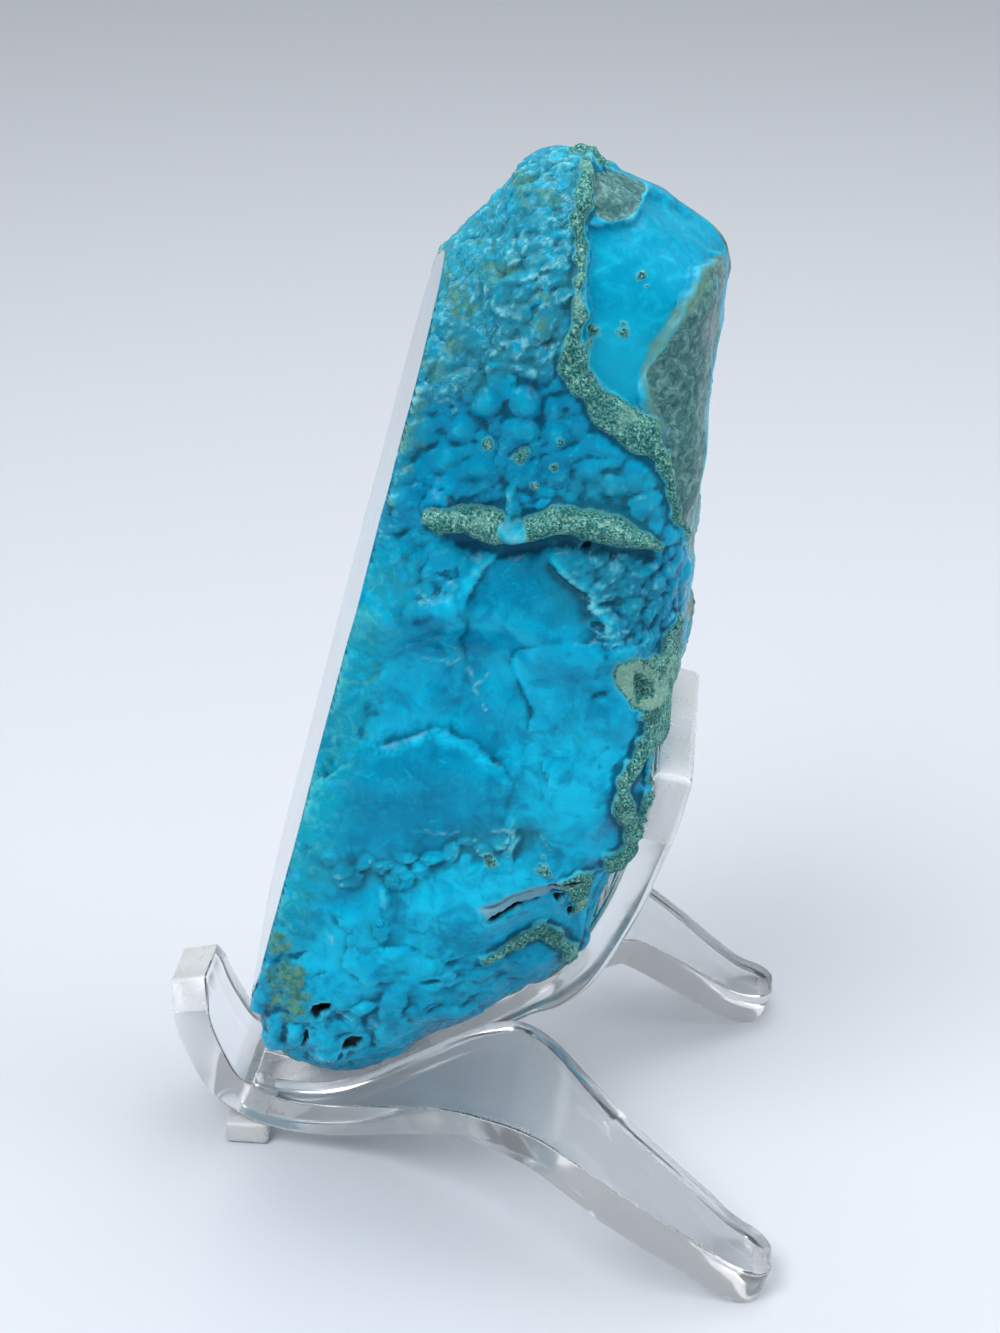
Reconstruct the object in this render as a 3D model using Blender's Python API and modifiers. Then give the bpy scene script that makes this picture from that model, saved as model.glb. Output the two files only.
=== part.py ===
"""A polished chrysocolla specimen leaning back in a clear two-piece easel.

Frame: +Z up, the easel's hook at -X, its rear legs at +X, the natural botryoidal face
of the stone towards -Y and its polished face towards -X. The origin is on the surface
that the easel stands on, under the middle of the object. Lengths below are in
millimetres and MM turns them into metres.
"""

import math

import bmesh
import bpy
from mathutils import Vector, noise

MM = 0.001

# The easel, both pieces bent from one thickness of sheet.
SHEET = 3.2
GAP = 0.35  # between pieces that touch
SLOT_HALF = 3.15
NECK_HALF = 2.0
BACKREST_SIDEWAYS = 0.8  # the backrest sits to the far side of its slot
EDGE_ROUND = 0.3

# Upper surface of the cradle from the hook's tip to the foot: x, z, inner half, outer half.
# The inner half is 0 where the plate is whole, the slot's where it is slotted, then the
# inner edge of the leg.
CRADLE_LINE = [
    (-23.3, 15.0, 0.0, 2.7),
    (-22.9, 13.2, 0.0, 4.0),
    (-22.4, 10.9, 0.0, 4.8),
    (-20.6, 7.0, 0.0, 5.3),
    (-18.8, 5.75, SLOT_HALF, 5.8),
    (-16.2, 5.0, SLOT_HALF, 6.3),
    (-12.6, 5.1, SLOT_HALF, 7.0),
    (-9.2, 6.2, SLOT_HALF, 8.4),
    (-4.1, 9.0, SLOT_HALF, 11.9),
    (0.2, 11.4, SLOT_HALF, 15.6),
    (3.4, 12.6, 3.3, 18.2),
    (5.4, 12.95, 4.2, 19.5),
    (7.9, 12.9, 6.6, 21.0),
    (10.9, 12.3, 10.4, 23.0),
    (13.3, 11.4, 13.0, 24.2),
    (15.1, 10.2, 14.1, 24.4),
    (18.3, 7.75, 15.1, 24.1),
    (21.3, 5.4, 15.9, 23.6),
    (23.6, 3.75, 16.8, 23.5),
    (26.6, 2.75, 17.9, 23.5),
]
SLOT_FRONT = 4  # the first row of the line above with the slot
ROWS_BETWEEN = 2
FOOT_ROUND = 1.9  # corner radius of a leg's end
TIP_SLOPE = 0.3

# Rear and lower surface of the backrest from its top to the front foot: x, z, half width.
BACKREST_LINE = [
    (18.7, 40.0, 10.4),
    (17.7, 35.1, 9.0),
    (16.4, 30.4, 7.4),
    (14.35, 24.2, 5.8),
    (11.1, 17.2, 4.0),
    (8.1, 13.5, 2.9),
    (5.2, 11.6, NECK_HALF),
    (2.0, 9.5, NECK_HALF),
    (-1.5, 6.9, NECK_HALF),
    (-5.0, 4.4, NECK_HALF),
    (-8.5, 2.8, NECK_HALF),
    (-12.5, 1.6, NECK_HALF),
    (-18.0, -0.4, NECK_HALF),
]
FRONT_FOOT = {"x": -19.6, "length": 3.8, "half_width": 7.0, "height": 2.0}

# The stone. Its outline seen from the side, from the lowest point round by the back.
STONE_OUTLINE = [
    (-11.7, 5.6),
    (-8.2, 6.9),
    (-5.8, 8.2),
    (-3.2, 10.2),
    (0.6, 12.2),
    (3.4, 14.2),
    (6.9, 16.0),
    (9.9, 17.7),
    (11.0, 19.4),
    (11.2, 22.0),
    (11.7, 26.6),
    (14.3, 28.8),
    (15.1, 30.2),
    (15.5, 34.8),
    (16.1, 41.0),
    (16.9, 46.0),
    (17.4, 51.0),
    (17.8, 59.0),
    (18.0, 62.6),
    (18.6, 66.0),
    (18.8, 72.0),
    (19.2, 76.6),
    (19.6, 80.2),
    (18.2, 82.6),
    (14.0, 85.9),
    (10.6, 87.8),
    (6.0, 88.6),
    (3.4, 87.0),
    (2.0, 84.2),
    (-0.6, 81.4),
    (-3.2, 77.8),
    (-8.0, 73.0),
    (-26.0, 20.0),
    (-18.4, 18.0),
    (-17.6, 14.0),
    (-17.4, 10.9),
    (-16.7, 7.9),
    (-15.0, 6.8),
    (-13.0, 6.4),
]
NATURAL_OUTLINE = STONE_OUTLINE[-6:] + STONE_OUTLINE[:32]  # all but the polished face
STONE_HALF_DEPTH = 11.5
NEAR_CROWN = (5.5, 4.2)  # how far in from the outline the natural face is rounded, and how deep
FAR_CROWN = (9.0, 4.5)
# The underside is a keel that rises to both faces, the top a dome, and the natural face
# stands further back where it leans over the easel's backrest.
KEEL_START = (-14.0, 6.0)
KEEL_SLOPE = 0.786
KEEL_WIDTH = 8.0
KEEL_NEAR_LIFT = 4.5
KEEL_FAR_LIFT = 2.0
KEEL_REACH = 16.0
TOP_RIDGE = -2.0
TOP_DOME = 0.04
TOP_DOME_FROM = 72.0
TOP_DOME_REACH = 12.0
SHOULDER_AT = 31.0
SHOULDER_REACH = 13.0
SHOULDER_OUT = 1.2
SHOULDER_SQUARE = 0.6
STONE_CELL = 1.75
CLEAR_BESIDE = 0.9  # how far beside the easel the stone is held clear of it
BACKREST_CLEAR_TOP = 43.0

# The polished face: the plane x = at_floor + lean * z + turn * y.
POLISH_AT_FLOOR = -23.4
POLISH_LEAN = 0.267
POLISH_TURN = -0.11

# Relief of the natural face, as x, z, radius and height of each swelling.
SWELLINGS = [
    (-4.6, 64.4, 3.0, 1.2),
    (-0.9, 64.2, 2.4, 1.4),
    (-1.2, 62.3, 2.4, 1.2),
    (-7.9, 60.2, 2.6, 0.9),
    (-5.0, 59.1, 2.4, 1.0),
    (-4.0, 74.0, 4.5, 0.8),
    (-1.0, 79.5, 4.0, 0.7),
    (2.0, 72.0, 4.0, 0.6),
    (-4.2, 34.8, 3.6, 0.9),
    (-11.5, 34.5, 7.0, 1.3),
    (-6.0, 39.0, 4.5, 0.8),
    (4.5, 40.0, 5.0, 0.6),
    (-13.5, 27.6, 3.0, 0.8),
    (-9.6, 26.2, 2.6, 1.0),
    (-6.4, 27.6, 2.6, 0.9),
    (-3.0, 29.0, 2.8, 0.8),
    (-3.5, 19.0, 6.0, 0.9),
    (-19.0, 15.8, 2.0, 1.0),
    (-17.4, 9.8, 2.4, 1.2),
    (12.4, 46.6, 3.4, 0.9),
]
# Hollows, as x, z, radius and depth.
HOLLOWS = [
    (1.0, 50.5, 6.0, 1.5),
    (1.5, 45.5, 6.0, 0.9),
    (14.3, 37.0, 2.4, 1.4),
    (13.6, 43.9, 1.6, 0.9),
    (-13.7, 12.6, 1.7, 1.6),
    (-11.0, 9.6, 1.6, 0.9),
]
LEDGE = [(-9.0, 55.6), (-6.0, 54.4), (-1.2, 54.2), (3.6, 54.2), (8.8, 52.6), (11.8, 51.6)]
LEDGE_HALF = 1.9
LEDGE_HEIGHT = 1.5
RIM = [(5.6, 81.5), (4.9, 76.0), (4.4, 69.5), (4.0, 65.8), (7.6, 63.0), (10.6, 60.0)]
RIM_HALF = 1.5
RIM_HEIGHT = 0.8
CRACK = [(0.8, 25.6), (6.0, 26.9), (14.2, 29.6)]
CRACK_STEP = 1.3
CRACK_SOFT = 0.9

CLEAR = (0.93, 0.96, 0.97, 1.0)
TURQUOISE = (0.012, 0.36, 0.55, 1.0)


def material(name, colour, roughness, transmission=0.0):
    made = bpy.data.materials.new(name)
    made.use_nodes = True
    shader = made.node_tree.nodes["Principled BSDF"]
    shader.inputs["Base Color"].default_value = colour
    shader.inputs["Roughness"].default_value = roughness
    shader.inputs["Metallic"].default_value = 0.0
    shader.inputs["Transmission Weight"].default_value = transmission
    made.diffuse_color = colour
    return made


def collection(name, hidden=False):
    made = bpy.data.collections.new(name)
    made.hide_render = hidden
    bpy.context.scene.collection.children.link(made)
    return made


def new_object(name, bm, where, finish=None):
    mesh = bpy.data.meshes.new(name)
    bm.to_mesh(mesh)
    bm.free()
    made = bpy.data.objects.new(name, mesh)
    where.objects.link(made)
    if finish:
        mesh.materials.append(finish)
    return made


def smooth_rows(line, between):
    """The rows of a line with Catmull-Rom rows put between them."""
    rows = []
    for i in range(len(line) - 1):
        before = line[max(i - 1, 0)]
        after = line[min(i + 2, len(line) - 1)]
        for step in range(between):
            t = step / between
            rows.append(tuple(
                0.5 * (2 * b + (c - a) * t + (2 * a - 5 * b + 4 * c - d) * t * t
                       + (3 * b - a - 3 * c + d) * t ** 3)
                for a, b, c, d in zip(before, line[i], line[i + 1], after)
            ))
    return rows + [line[-1]]


def height_on(line, x):
    """The height of a line of (x, z, ...) at x, with its rows in order of x."""
    rows = sorted((row[0], row[1]) for row in line)
    for (x0, z0), (x1, z1) in zip(rows, rows[1:]):
        if x <= x1:
            share = min(max((x - x0) / (x1 - x0), 0.0), 1.0)
            return z0 + (z1 - z0) * share
    return rows[-1][1]


def thicken(piece, thickness, offset):
    thick = piece.modifiers.new("sheet", "SOLIDIFY")
    thick.thickness = thickness * MM
    thick.offset = offset
    thick.use_even_offset = True


def sheet_modifiers(piece, thickness, offset):
    thicken(piece, thickness, offset)
    rounded = piece.modifiers.new("edges", "BEVEL")
    rounded.width = EDGE_ROUND * MM
    rounded.segments = 1
    rounded.limit_method = "ANGLE"
    rounded.angle_limit = math.radians(50)


def cut(piece, cutter, operation="DIFFERENCE"):
    made = piece.modifiers.new(cutter.name, "BOOLEAN")
    made.operation = operation
    made.object = cutter
    made.solver = "EXACT"


def box(name, low, high, where):
    bm = bmesh.new()
    bmesh.ops.create_cube(bm, size=1.0)
    size = [(b - a) * MM for a, b in zip(low, high)]
    middle = [(a + b) / 2 * MM for a, b in zip(low, high)]
    bmesh.ops.scale(bm, vec=size, verts=bm.verts)
    bmesh.ops.translate(bm, vec=middle, verts=bm.verts)
    made = new_object(name, bm, where)
    made.display_type = "WIRE"
    made.hide_render = True
    return made


def leg_end(inner, outer, to_end):
    """The half widths near a leg's end, drawn in round its corners."""
    if to_end >= FOOT_ROUND:
        return inner, outer
    inset = FOOT_ROUND - math.sqrt(FOOT_ROUND ** 2 - (FOOT_ROUND - to_end) ** 2)
    inset = min(inset, FOOT_ROUND * 0.8)
    return inner + inset, outer - inset


def cradle_sheet(name, where, finish=None):
    """Half the bent sheet's upper surface as a grid of rows and columns, mirrored."""
    rows = smooth_rows(CRADLE_LINE, ROWS_BETWEEN)
    slotted_from = SLOT_FRONT * ROWS_BETWEEN
    tail = rows[-1]
    rows = [row for row in rows if row[0] < tail[0] - FOOT_ROUND]
    for to_end in (FOOT_ROUND, FOOT_ROUND * 0.4, 0.0):
        rows.append((tail[0] - to_end, tail[1] + to_end * TIP_SLOPE, tail[2], tail[3]))
    bm = bmesh.new()
    grid = []
    for number, (x, z, inner, outer) in enumerate(rows):
        if number < slotted_from:
            inner = outer * 0.5
        if x > tail[0] - FOOT_ROUND:
            inner, outer = leg_end(inner, outer, tail[0] - x)
        across = [0.0, inner, (inner + outer) / 2, outer]
        grid.append([bm.verts.new((x * MM, y * MM, z * MM)) for y in across])
    for number in range(len(grid) - 1):
        first = 0 if number < slotted_from else 1
        here, there = grid[number], grid[number + 1]
        for column in range(first, 3):
            bm.faces.new((here[column], there[column], there[column + 1], here[column + 1]))
    loose = [v for v in bm.verts if not v.link_faces]
    bmesh.ops.delete(bm, geom=loose, context="VERTS")
    bmesh.ops.recalc_face_normals(bm, faces=bm.faces)
    if sum(face.normal.z for face in bm.faces) < 0:
        bmesh.ops.reverse_faces(bm, faces=bm.faces)
    piece = new_object(name, bm, where, finish)
    mirror = piece.modifiers.new("other_side", "MIRROR")
    mirror.use_axis = (False, True, False)
    mirror.use_clip = True
    mirror.merge_threshold = 0.00005
    return piece


def build_cradle(where, cutters, finish):
    """The bent sheet with its legs' ends cut level with the ground."""
    piece = cradle_sheet("easel_cradle", where, finish)
    sheet_modifiers(piece, SHEET, -1.0)
    cut(piece, box("cradle_ground", (10.0, -40.0, -15.0), (40.0, 40.0, 0.0), cutters))
    return piece


def backrest_strip(name, where, wider=0.0, finish=None):
    """The rear and lower surface of the bent strip."""
    rows = smooth_rows(BACKREST_LINE, ROWS_BETWEEN)
    bm = bmesh.new()
    grid = []
    for x, z, half in rows:
        across = [-half - wider, 0.0, half + wider]
        grid.append([bm.verts.new((x * MM, (y + BACKREST_SIDEWAYS) * MM, z * MM)) for y in across])
    for here, there in zip(grid, grid[1:]):
        for column in range(2):
            bm.faces.new((here[column], here[column + 1], there[column + 1], there[column]))
    bmesh.ops.recalc_face_normals(bm, faces=bm.faces)
    if sum(face.normal.z for face in bm.faces) < 0:
        bmesh.ops.reverse_faces(bm, faces=bm.faces)
    return new_object(name, bm, where, finish)


def build_backrest(where, cutters, finish):
    """The bent strip, its front foot joined on and both cut level with the ground."""
    piece = backrest_strip("easel_backrest", where, finish=finish)
    sheet_modifiers(piece, SHEET, 1.0)
    foot = FRONT_FOOT
    low = (foot["x"] - foot["length"] / 2, BACKREST_SIDEWAYS - foot["half_width"], -0.5)
    high = (foot["x"] + foot["length"] / 2, BACKREST_SIDEWAYS + foot["half_width"], foot["height"])
    cut(piece, box("front_foot", low, high, cutters), "UNION")
    cut(piece, box("backrest_ground", (-40.0, -20.0, -9.0), (10.0, 20.0, 0.0), cutters))
    return piece


def near_line(x, z, line):
    """Distance from (x, z) to a line of points, and on which side of it (x, z) lies."""
    best = 1e9
    side = 1.0
    for (x0, z0), (x1, z1) in zip(line, line[1:]):
        dx, dz = x1 - x0, z1 - z0
        share = ((x - x0) * dx + (z - z0) * dz) / (dx * dx + dz * dz)
        share = min(max(share, 0.0), 1.0)
        away = math.hypot(x - x0 - share * dx, z - z0 - share * dz)
        if away < best:
            best = away
            side = 1.0 if dx * (z - z0) - dz * (x - x0) > 0 else -1.0
    return best, side


def dome(x, z, centre_x, centre_z, radius):
    away = math.hypot(x - centre_x, z - centre_z) / radius
    return (1 - away * away) ** 2 if away < 1 else 0.0


def ramp(value):
    value = min(max(value, 0.0), 1.0)
    return value * value * (3 - 2 * value)


def natural_relief(x, z):
    """How far the natural face stands out at (x, z)."""
    out = sum(height * dome(x, z, cx, cz, radius) for cx, cz, radius, height in SWELLINGS)
    out -= sum(depth * dome(x, z, cx, cz, radius) for cx, cz, radius, depth in HOLLOWS)
    away, _ = near_line(x, z, LEDGE)
    out += LEDGE_HEIGHT * ramp(1 - away / (2 * LEDGE_HALF))
    away, _ = near_line(x, z, RIM)
    out += RIM_HEIGHT * ramp(1 - away / (2 * RIM_HALF))
    away, side = near_line(x, z, CRACK)
    if x > CRACK[0][0] and side < 0:
        out -= CRACK_STEP * ramp(away / CRACK_SOFT) * ramp((x - CRACK[0][0]) / 4)
    return out


def hidden_relief(point):
    """Broad lobes and small lumps for the sides that have no marked features."""
    broad = noise.noise(point / 9.0)
    small = noise.noise(point / 3.6 + Vector((7.0, 3.0, 5.0)))
    return 0.9 * broad + 0.5 * small


def keep_clear(point):
    """The point, moved out of the easel and the gap round it."""
    x, y, z = point
    side = y - BACKREST_SIDEWAYS
    over = [row for row in CRADLE_LINE if abs(row[0] - x) < 4]
    widest = max((row[3] for row in over), default=0.0)
    if abs(y) < widest + 1 and z < 22:
        z = max(z, height_on(CRADLE_LINE[3:], x) + GAP)
    if abs(side) < NECK_HALF + CLEAR_BESIDE and z < 22:
        z = max(z, height_on(BACKREST_TOP, x) + GAP)
    if z < BACKREST_CLEAR_TOP:
        half = CLEAR_BESIDE
        reach = 1e9
        for (x0, z0, half0), (x1, z1, half1) in zip(BACKREST_FRONT, BACKREST_FRONT[1:]):
            if z1 <= z <= z0 or (z > z0 and z0 == BACKREST_FRONT[0][1]):
                share = min(max((z - z0) / (z1 - z0), 0.0), 1.0)
                reach = x0 + (x1 - x0) * share
                half += half0 + (half1 - half0) * share
        if abs(side) < half:
            x = min(x, reach - GAP)
    return Vector((x, y, z))


def backrest_face():
    """The front and upper surface of the backrest, worked out from its rear one."""
    rows = smooth_rows(BACKREST_LINE, ROWS_BETWEEN)
    face = []
    for number, (x, z, half) in enumerate(rows):
        before = rows[max(number - 1, 0)]
        after = rows[min(number + 1, len(rows) - 1)]
        along = Vector((after[0] - before[0], after[1] - before[1])).normalized()
        face.append((x + along.y * SHEET, z - along.x * SHEET, half))
    return face


FACE = backrest_face()
BACKREST_FRONT = [row for row in FACE if row[1] > 16]
BACKREST_TOP = [row for row in FACE if row[1] <= 17]


def crowned(point):
    """The slab's point, drawn in so that the broad faces swell and the edges fall away."""
    edge, _ = near_line(point.x, point.z, NATURAL_OUTLINE)
    reach, depth = NEAR_CROWN if point.y < 0 else FAR_CROWN
    shoulder = ramp((point.x - 4) / 6) * ramp(1 - abs(point.z - SHOULDER_AT) / SHOULDER_REACH)
    if point.y < 0:
        depth *= 1 - SHOULDER_SQUARE * shoulder
    inward = 1 - min(edge / reach, 1.0)
    fall = depth / STONE_HALF_DEPTH * (1 - math.sqrt(1 - inward * inward))
    x, y, z = point.x, point.y * (1 - fall), point.z
    over_keel = z - KEEL_START[1] - (x - KEEL_START[0]) * KEEL_SLOPE
    lift = KEEL_NEAR_LIFT if y < 0 else KEEL_FAR_LIFT
    z += lift * (y / KEEL_WIDTH) ** 2 * ramp(1 - over_keel / KEEL_REACH)
    z -= TOP_DOME * (y - TOP_RIDGE) ** 2 * ramp((z - TOP_DOME_FROM) / TOP_DOME_REACH)
    x += SHOULDER_OUT * shoulder * ramp(-(y + 2) / 5)
    return Vector((x, y, z))


def stone_block(where):
    """The outline as a thick slab, evenly meshed and with its edges worn round."""
    bm = bmesh.new()
    depth = STONE_HALF_DEPTH
    ring = [bm.verts.new((x * MM, -depth * MM, z * MM)) for x, z in STONE_OUTLINE]
    face = bm.faces.new(ring)
    made = bmesh.ops.extrude_face_region(bm, geom=[face])
    moved = [v for v in made["geom"] if isinstance(v, bmesh.types.BMVert)]
    bmesh.ops.translate(bm, vec=(0, 2 * depth * MM, 0), verts=moved)
    bmesh.ops.recalc_face_normals(bm, faces=bm.faces)
    block = new_object("stone_block", bm, where)
    even = block.modifiers.new("even", "REMESH")
    even.mode = "VOXEL"
    even.voxel_size = STONE_CELL * MM
    worn = block.modifiers.new("worn", "SMOOTH")
    worn.factor = 0.5
    worn.iterations = 4
    return block


def build_specimen(where, cutters, finish):
    """The slab with its relief, then sliced flat where it was cut and polished."""
    block = stone_block(cutters)
    bpy.context.view_layer.update()
    evaluated = block.evaluated_get(bpy.context.evaluated_depsgraph_get())
    bm = bmesh.new()
    bm.from_mesh(evaluated.data)
    bpy.data.objects.remove(block)
    bmesh.ops.triangulate(bm, faces=bm.faces)
    for vert in bm.verts:
        vert.co = crowned(vert.co / MM) * MM
    bm.normal_update()
    places = []
    for vert in bm.verts:
        point = vert.co / MM
        facing = ramp(-vert.normal.y * 1.6 - 0.3)
        out = facing * natural_relief(point.x, point.z) + (1 - facing) * hidden_relief(point)
        places.append(point + vert.normal * out)
    for vert, place in zip(bm.verts, places):
        vert.co = keep_clear(place) * MM
    normal = Vector((-1.0, POLISH_TURN, POLISH_LEAN)).normalized()
    bmesh.ops.bisect_plane(
        bm,
        geom=bm.verts[:] + bm.edges[:] + bm.faces[:],
        plane_co=Vector((POLISH_AT_FLOOR * MM, 0, 0)),
        plane_no=normal,
        dist=0.00001,
        clear_outer=True,
    )
    rim = [edge for edge in bm.edges if edge.is_boundary]
    bmesh.ops.holes_fill(bm, edges=rim, sides=0)
    bmesh.ops.recalc_face_normals(bm, faces=bm.faces)
    stone = new_object("specimen", bm, where, finish)
    above_cradle = cradle_sheet("above_cradle", cutters)
    thicken(above_cradle, SHEET + GAP, 2 * GAP / (SHEET + GAP) - 1)
    round_backrest = backrest_strip("round_backrest", cutters, wider=GAP)
    thicken(round_backrest, SHEET + GAP, 1.0)
    for cutter in (above_cradle, round_backrest):
        cutter.display_type = "WIRE"
        cutter.hide_render = True
        cut(stone, cutter)
    return stone


def main():
    for old in list(bpy.data.objects):
        bpy.data.objects.remove(old, do_unlink=True)
    bpy.context.scene.unit_settings.system = "METRIC"
    parts = collection("chrysocolla_specimen")
    cutters = collection("cutters", hidden=True)
    clear = material("clear_plastic", CLEAR, 0.03, 1.0)
    build_cradle(parts, cutters, clear)
    build_backrest(parts, cutters, clear.copy())
    build_specimen(parts, cutters, material("chrysocolla", TURQUOISE, 0.25))


main()
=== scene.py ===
"""Builds a chrysocolla specimen in its clear easel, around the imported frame, as an add-on."""

import functools
import itertools
import math

import bmesh
import bpy
import numpy as np
from bpy.props import FloatProperty, FloatVectorProperty, IntProperty, PointerProperty
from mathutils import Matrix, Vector


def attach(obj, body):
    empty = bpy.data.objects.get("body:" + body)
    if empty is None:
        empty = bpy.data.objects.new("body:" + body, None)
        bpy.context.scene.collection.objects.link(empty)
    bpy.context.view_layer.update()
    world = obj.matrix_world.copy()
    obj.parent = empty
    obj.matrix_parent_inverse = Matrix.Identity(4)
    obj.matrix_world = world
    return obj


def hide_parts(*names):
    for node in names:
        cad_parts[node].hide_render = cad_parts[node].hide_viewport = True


bl_info = {
    "name": "Chrysocolla specimen on a clear easel",
    "version": (1, 0, 0),
    "blender": (4, 5, 0),
    "location": "3D View > Sidebar > Specimen",
    "description": "Dresses a packed frame as a natural chrysocolla stone in a bent clear easel",
    "category": "Object",
}

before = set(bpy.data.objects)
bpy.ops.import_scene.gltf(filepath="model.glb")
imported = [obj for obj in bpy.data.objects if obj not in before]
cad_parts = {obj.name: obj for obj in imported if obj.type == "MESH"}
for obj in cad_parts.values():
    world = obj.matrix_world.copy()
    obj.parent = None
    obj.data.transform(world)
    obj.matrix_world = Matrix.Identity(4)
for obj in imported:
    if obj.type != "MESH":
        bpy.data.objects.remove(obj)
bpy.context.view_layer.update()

MM = 0.001
BODY = "root"
MERGE_MM = 0.002  # packed points closer than this are one
CUT_MM = 0.001  # how far from a cut or the middle still counts as on it
SEAM_MM = 0.01  # how close mirrored points are joined
ROUND_STEPS = 3
ROUNDED_OVER_DEG = 50
SHARP_OVER_DEG = 40

# ---- the view

VIEW_SIZE_PX = (1000, 1333)
FOCAL_PX = 2450.0
CAMERA_MM = (20.99, -181.78, 130.0)
CAMERA_TURN_DEG = 5.86  # towards -X from straight along +Y
CAMERA_TILT_DEG = 25.0  # below level
NEAREST_M = 0.01
FARTHEST_M = 20.0
FLOOR_HALF_M = 3.0
FLOOR_GAP_MM = 0.05  # keeps the floor clear of the feet that stand on it
SKY_COLOUR = (0.82, 0.86, 0.92, 1.0)
MIDDLE_MM = (0.0, 0.0, 45.0)
# Name, place, what it's aimed at and size in mm, and power as a share of the main light's.
LAMPS = [
    ("key", (-160, -240, 420), MIDDLE_MM, (260, 260), 1.0),
    ("top", (80, 120, 460), MIDDLE_MM, (420, 300), 0.5),
    ("wide", (0, 500, 1300), (0, 500, 0), (2400, 2400), 7.0),
    ("side", (380, -60, 200), MIDDLE_MM, (200, 260), 0.35),
]

# ---- the easel, in mm

SHEET_MM = 3.2
SLOT_HALF = 3.15
NECK_HALF = 2.0
BACKREST_SIDEWAYS = 0.8
FOOT_ROUND = 1.9
TIP_SLOPE = 0.3
TIP_SHARES = (1.0, 0.7, 0.45, 0.25, 0.1, 0.0)  # rows of a leg's tip, as shares of FOOT_ROUND
TIP_INSET = 0.8  # the most that a tip draws in, as a share of FOOT_ROUND
ACRYLIC_IOR = 1.49

# Upper surface of the cradle from the hook's tip to the foot: x, z, inner half, outer half.
CRADLE_LINE = [
    (-23.3, 15.0, 0.0, 2.7), (-22.9, 13.2, 0.0, 4.0), (-22.4, 10.9, 0.0, 4.8),
    (-20.6, 7.0, 0.0, 5.3), (-18.8, 5.75, SLOT_HALF, 5.8), (-16.2, 5.0, SLOT_HALF, 6.3),
    (-12.6, 5.1, SLOT_HALF, 7.0), (-9.2, 6.2, SLOT_HALF, 8.4), (-4.1, 9.0, SLOT_HALF, 11.9),
    (0.2, 11.4, SLOT_HALF, 15.6), (3.4, 12.6, 3.3, 18.2), (5.4, 12.95, 4.2, 19.5),
    (7.9, 12.9, 6.6, 21.0), (10.9, 12.3, 10.4, 23.0), (13.3, 11.4, 13.0, 24.2),
    (15.1, 10.2, 14.1, 24.4), (18.3, 7.75, 15.1, 24.1), (21.3, 5.4, 15.9, 23.6),
    (23.6, 3.75, 16.8, 23.5), (26.6, 2.75, 17.9, 23.5),
]
SLOT_FRONT = 4

# Rear and lower surface of the backrest from its top to the front foot: x, z, half width.
BACKREST_LINE = [
    (18.7, 40.0, 10.4), (17.7, 35.1, 9.0), (16.4, 30.4, 7.4), (14.35, 24.2, 5.8), (11.1, 17.2, 4.0),
    (8.1, 13.5, 2.9), (5.2, 11.6, NECK_HALF), (2.0, 9.5, NECK_HALF), (-1.5, 6.9, NECK_HALF),
    (-5.0, 4.4, NECK_HALF), (-8.5, 2.8, NECK_HALF), (-12.5, 1.6, NECK_HALF),
    (-18.0, -0.4, NECK_HALF),
]
HOOK_FROSTED_ABOVE = 12.2
TOP_FROSTED_ABOVE = 33.0
NECK_FROSTED_BELOW = 7.0
FRONT_FOOT = {"x": -19.6, "length": 3.8, "half_width": 7.0, "height": 2.0, "round": 0.35}

# ---- the stone

# The polished face: the plane x = at_floor + lean * z + turn * y, in mm.
POLISH_AT_FLOOR = -23.4
POLISH_LEAN = 0.267
POLISH_TURN = -0.11
POLISH_SPARE = 1.6  # how far the skin runs past the polished plane before the cut
POLISH_TAPER = 1.1  # how far it draws in over that length
POLISH_MIDLINE = (14.0, 66.0)  # lower and upper end of the polished face's middle line
RIM_MM = 0.25  # how close to the polished plane nothing is raised

FACING_VIEW = -0.25  # skin that turns towards the view past this gets the finer mesh
NEAR_MM = 6.0  # how far past the middle the marked features reach
OVER_TOP_FROM_MM = 66.0  # the height from which they reach as far again
# How far outlines wander and lumps are warped, over what size, and the sizes of the lumps.
JITTER_PX = 3.5
JITTER_SIZE_MM = 1.6
WARP_MM = 0.5
WARP_SIZE_MM = 2.2
COARSE_MM = 1.5
FINE_MM = 0.9
FINEST_MM = 0.5
# Depth of a full hollow, the height where a crest begins and the rise that makes it full.
HOLLOW_MM = 0.5
CREST_FROM_MM = 0.035
CREST_MM = 0.08
CRUST_ROUGHNESS = (0.6, 0.6, 0.6, 1.0)
SUBSURFACE_MM = 0.8
# The hidden sides: where the back begins, where its crust ends and where its quartz begins.
BACK_FROM_MM = 8.0
BACK_CRUST_BELOW_MM = 46.0
BACK_QUARTZ_ABOVE_MM = 44.0
SIDE_TONE = 0.3

# Places on the natural face are in pixels of the view: across and down, and for most lines half
# width. Ovals are across, down, half width, half height, turn in degrees, then height or amount.
# Heights and depths are in mm.
PLANE_PX = [
    (593, 224), (637, 217), (654, 183), (683, 195), (712, 214), (724, 234), (722, 258), (700, 265),
    (685, 294), (680, 319), (663, 343), (654, 367), (639, 384), (639, 401), (646, 420), (588, 379),
    (586, 350), (591, 314), (586, 275),
]
PLANE_DROP = 0.75
QUARTZ_DROP = 0.25
QUARTZ_TOP_PX = [
    (596, 168), (613, 161), (637, 164), (651, 181), (642, 200), (632, 214), (613, 219), (598, 214),
    (593, 193),
]
QUARTZ_RIGHT_PX = [
    (735, 230), (717, 263), (705, 275), (688, 304), (680, 331), (663, 353), (649, 377), (654, 406),
    (668, 433), (671, 459), (675, 499), (683, 528), (687, 552), (740, 552),
]
QUARTZ_RIM_PX = [(714, 214, 2), (727, 232, 3), (729, 262, 4), (724, 300, 5), (716, 345, 5)]
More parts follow.
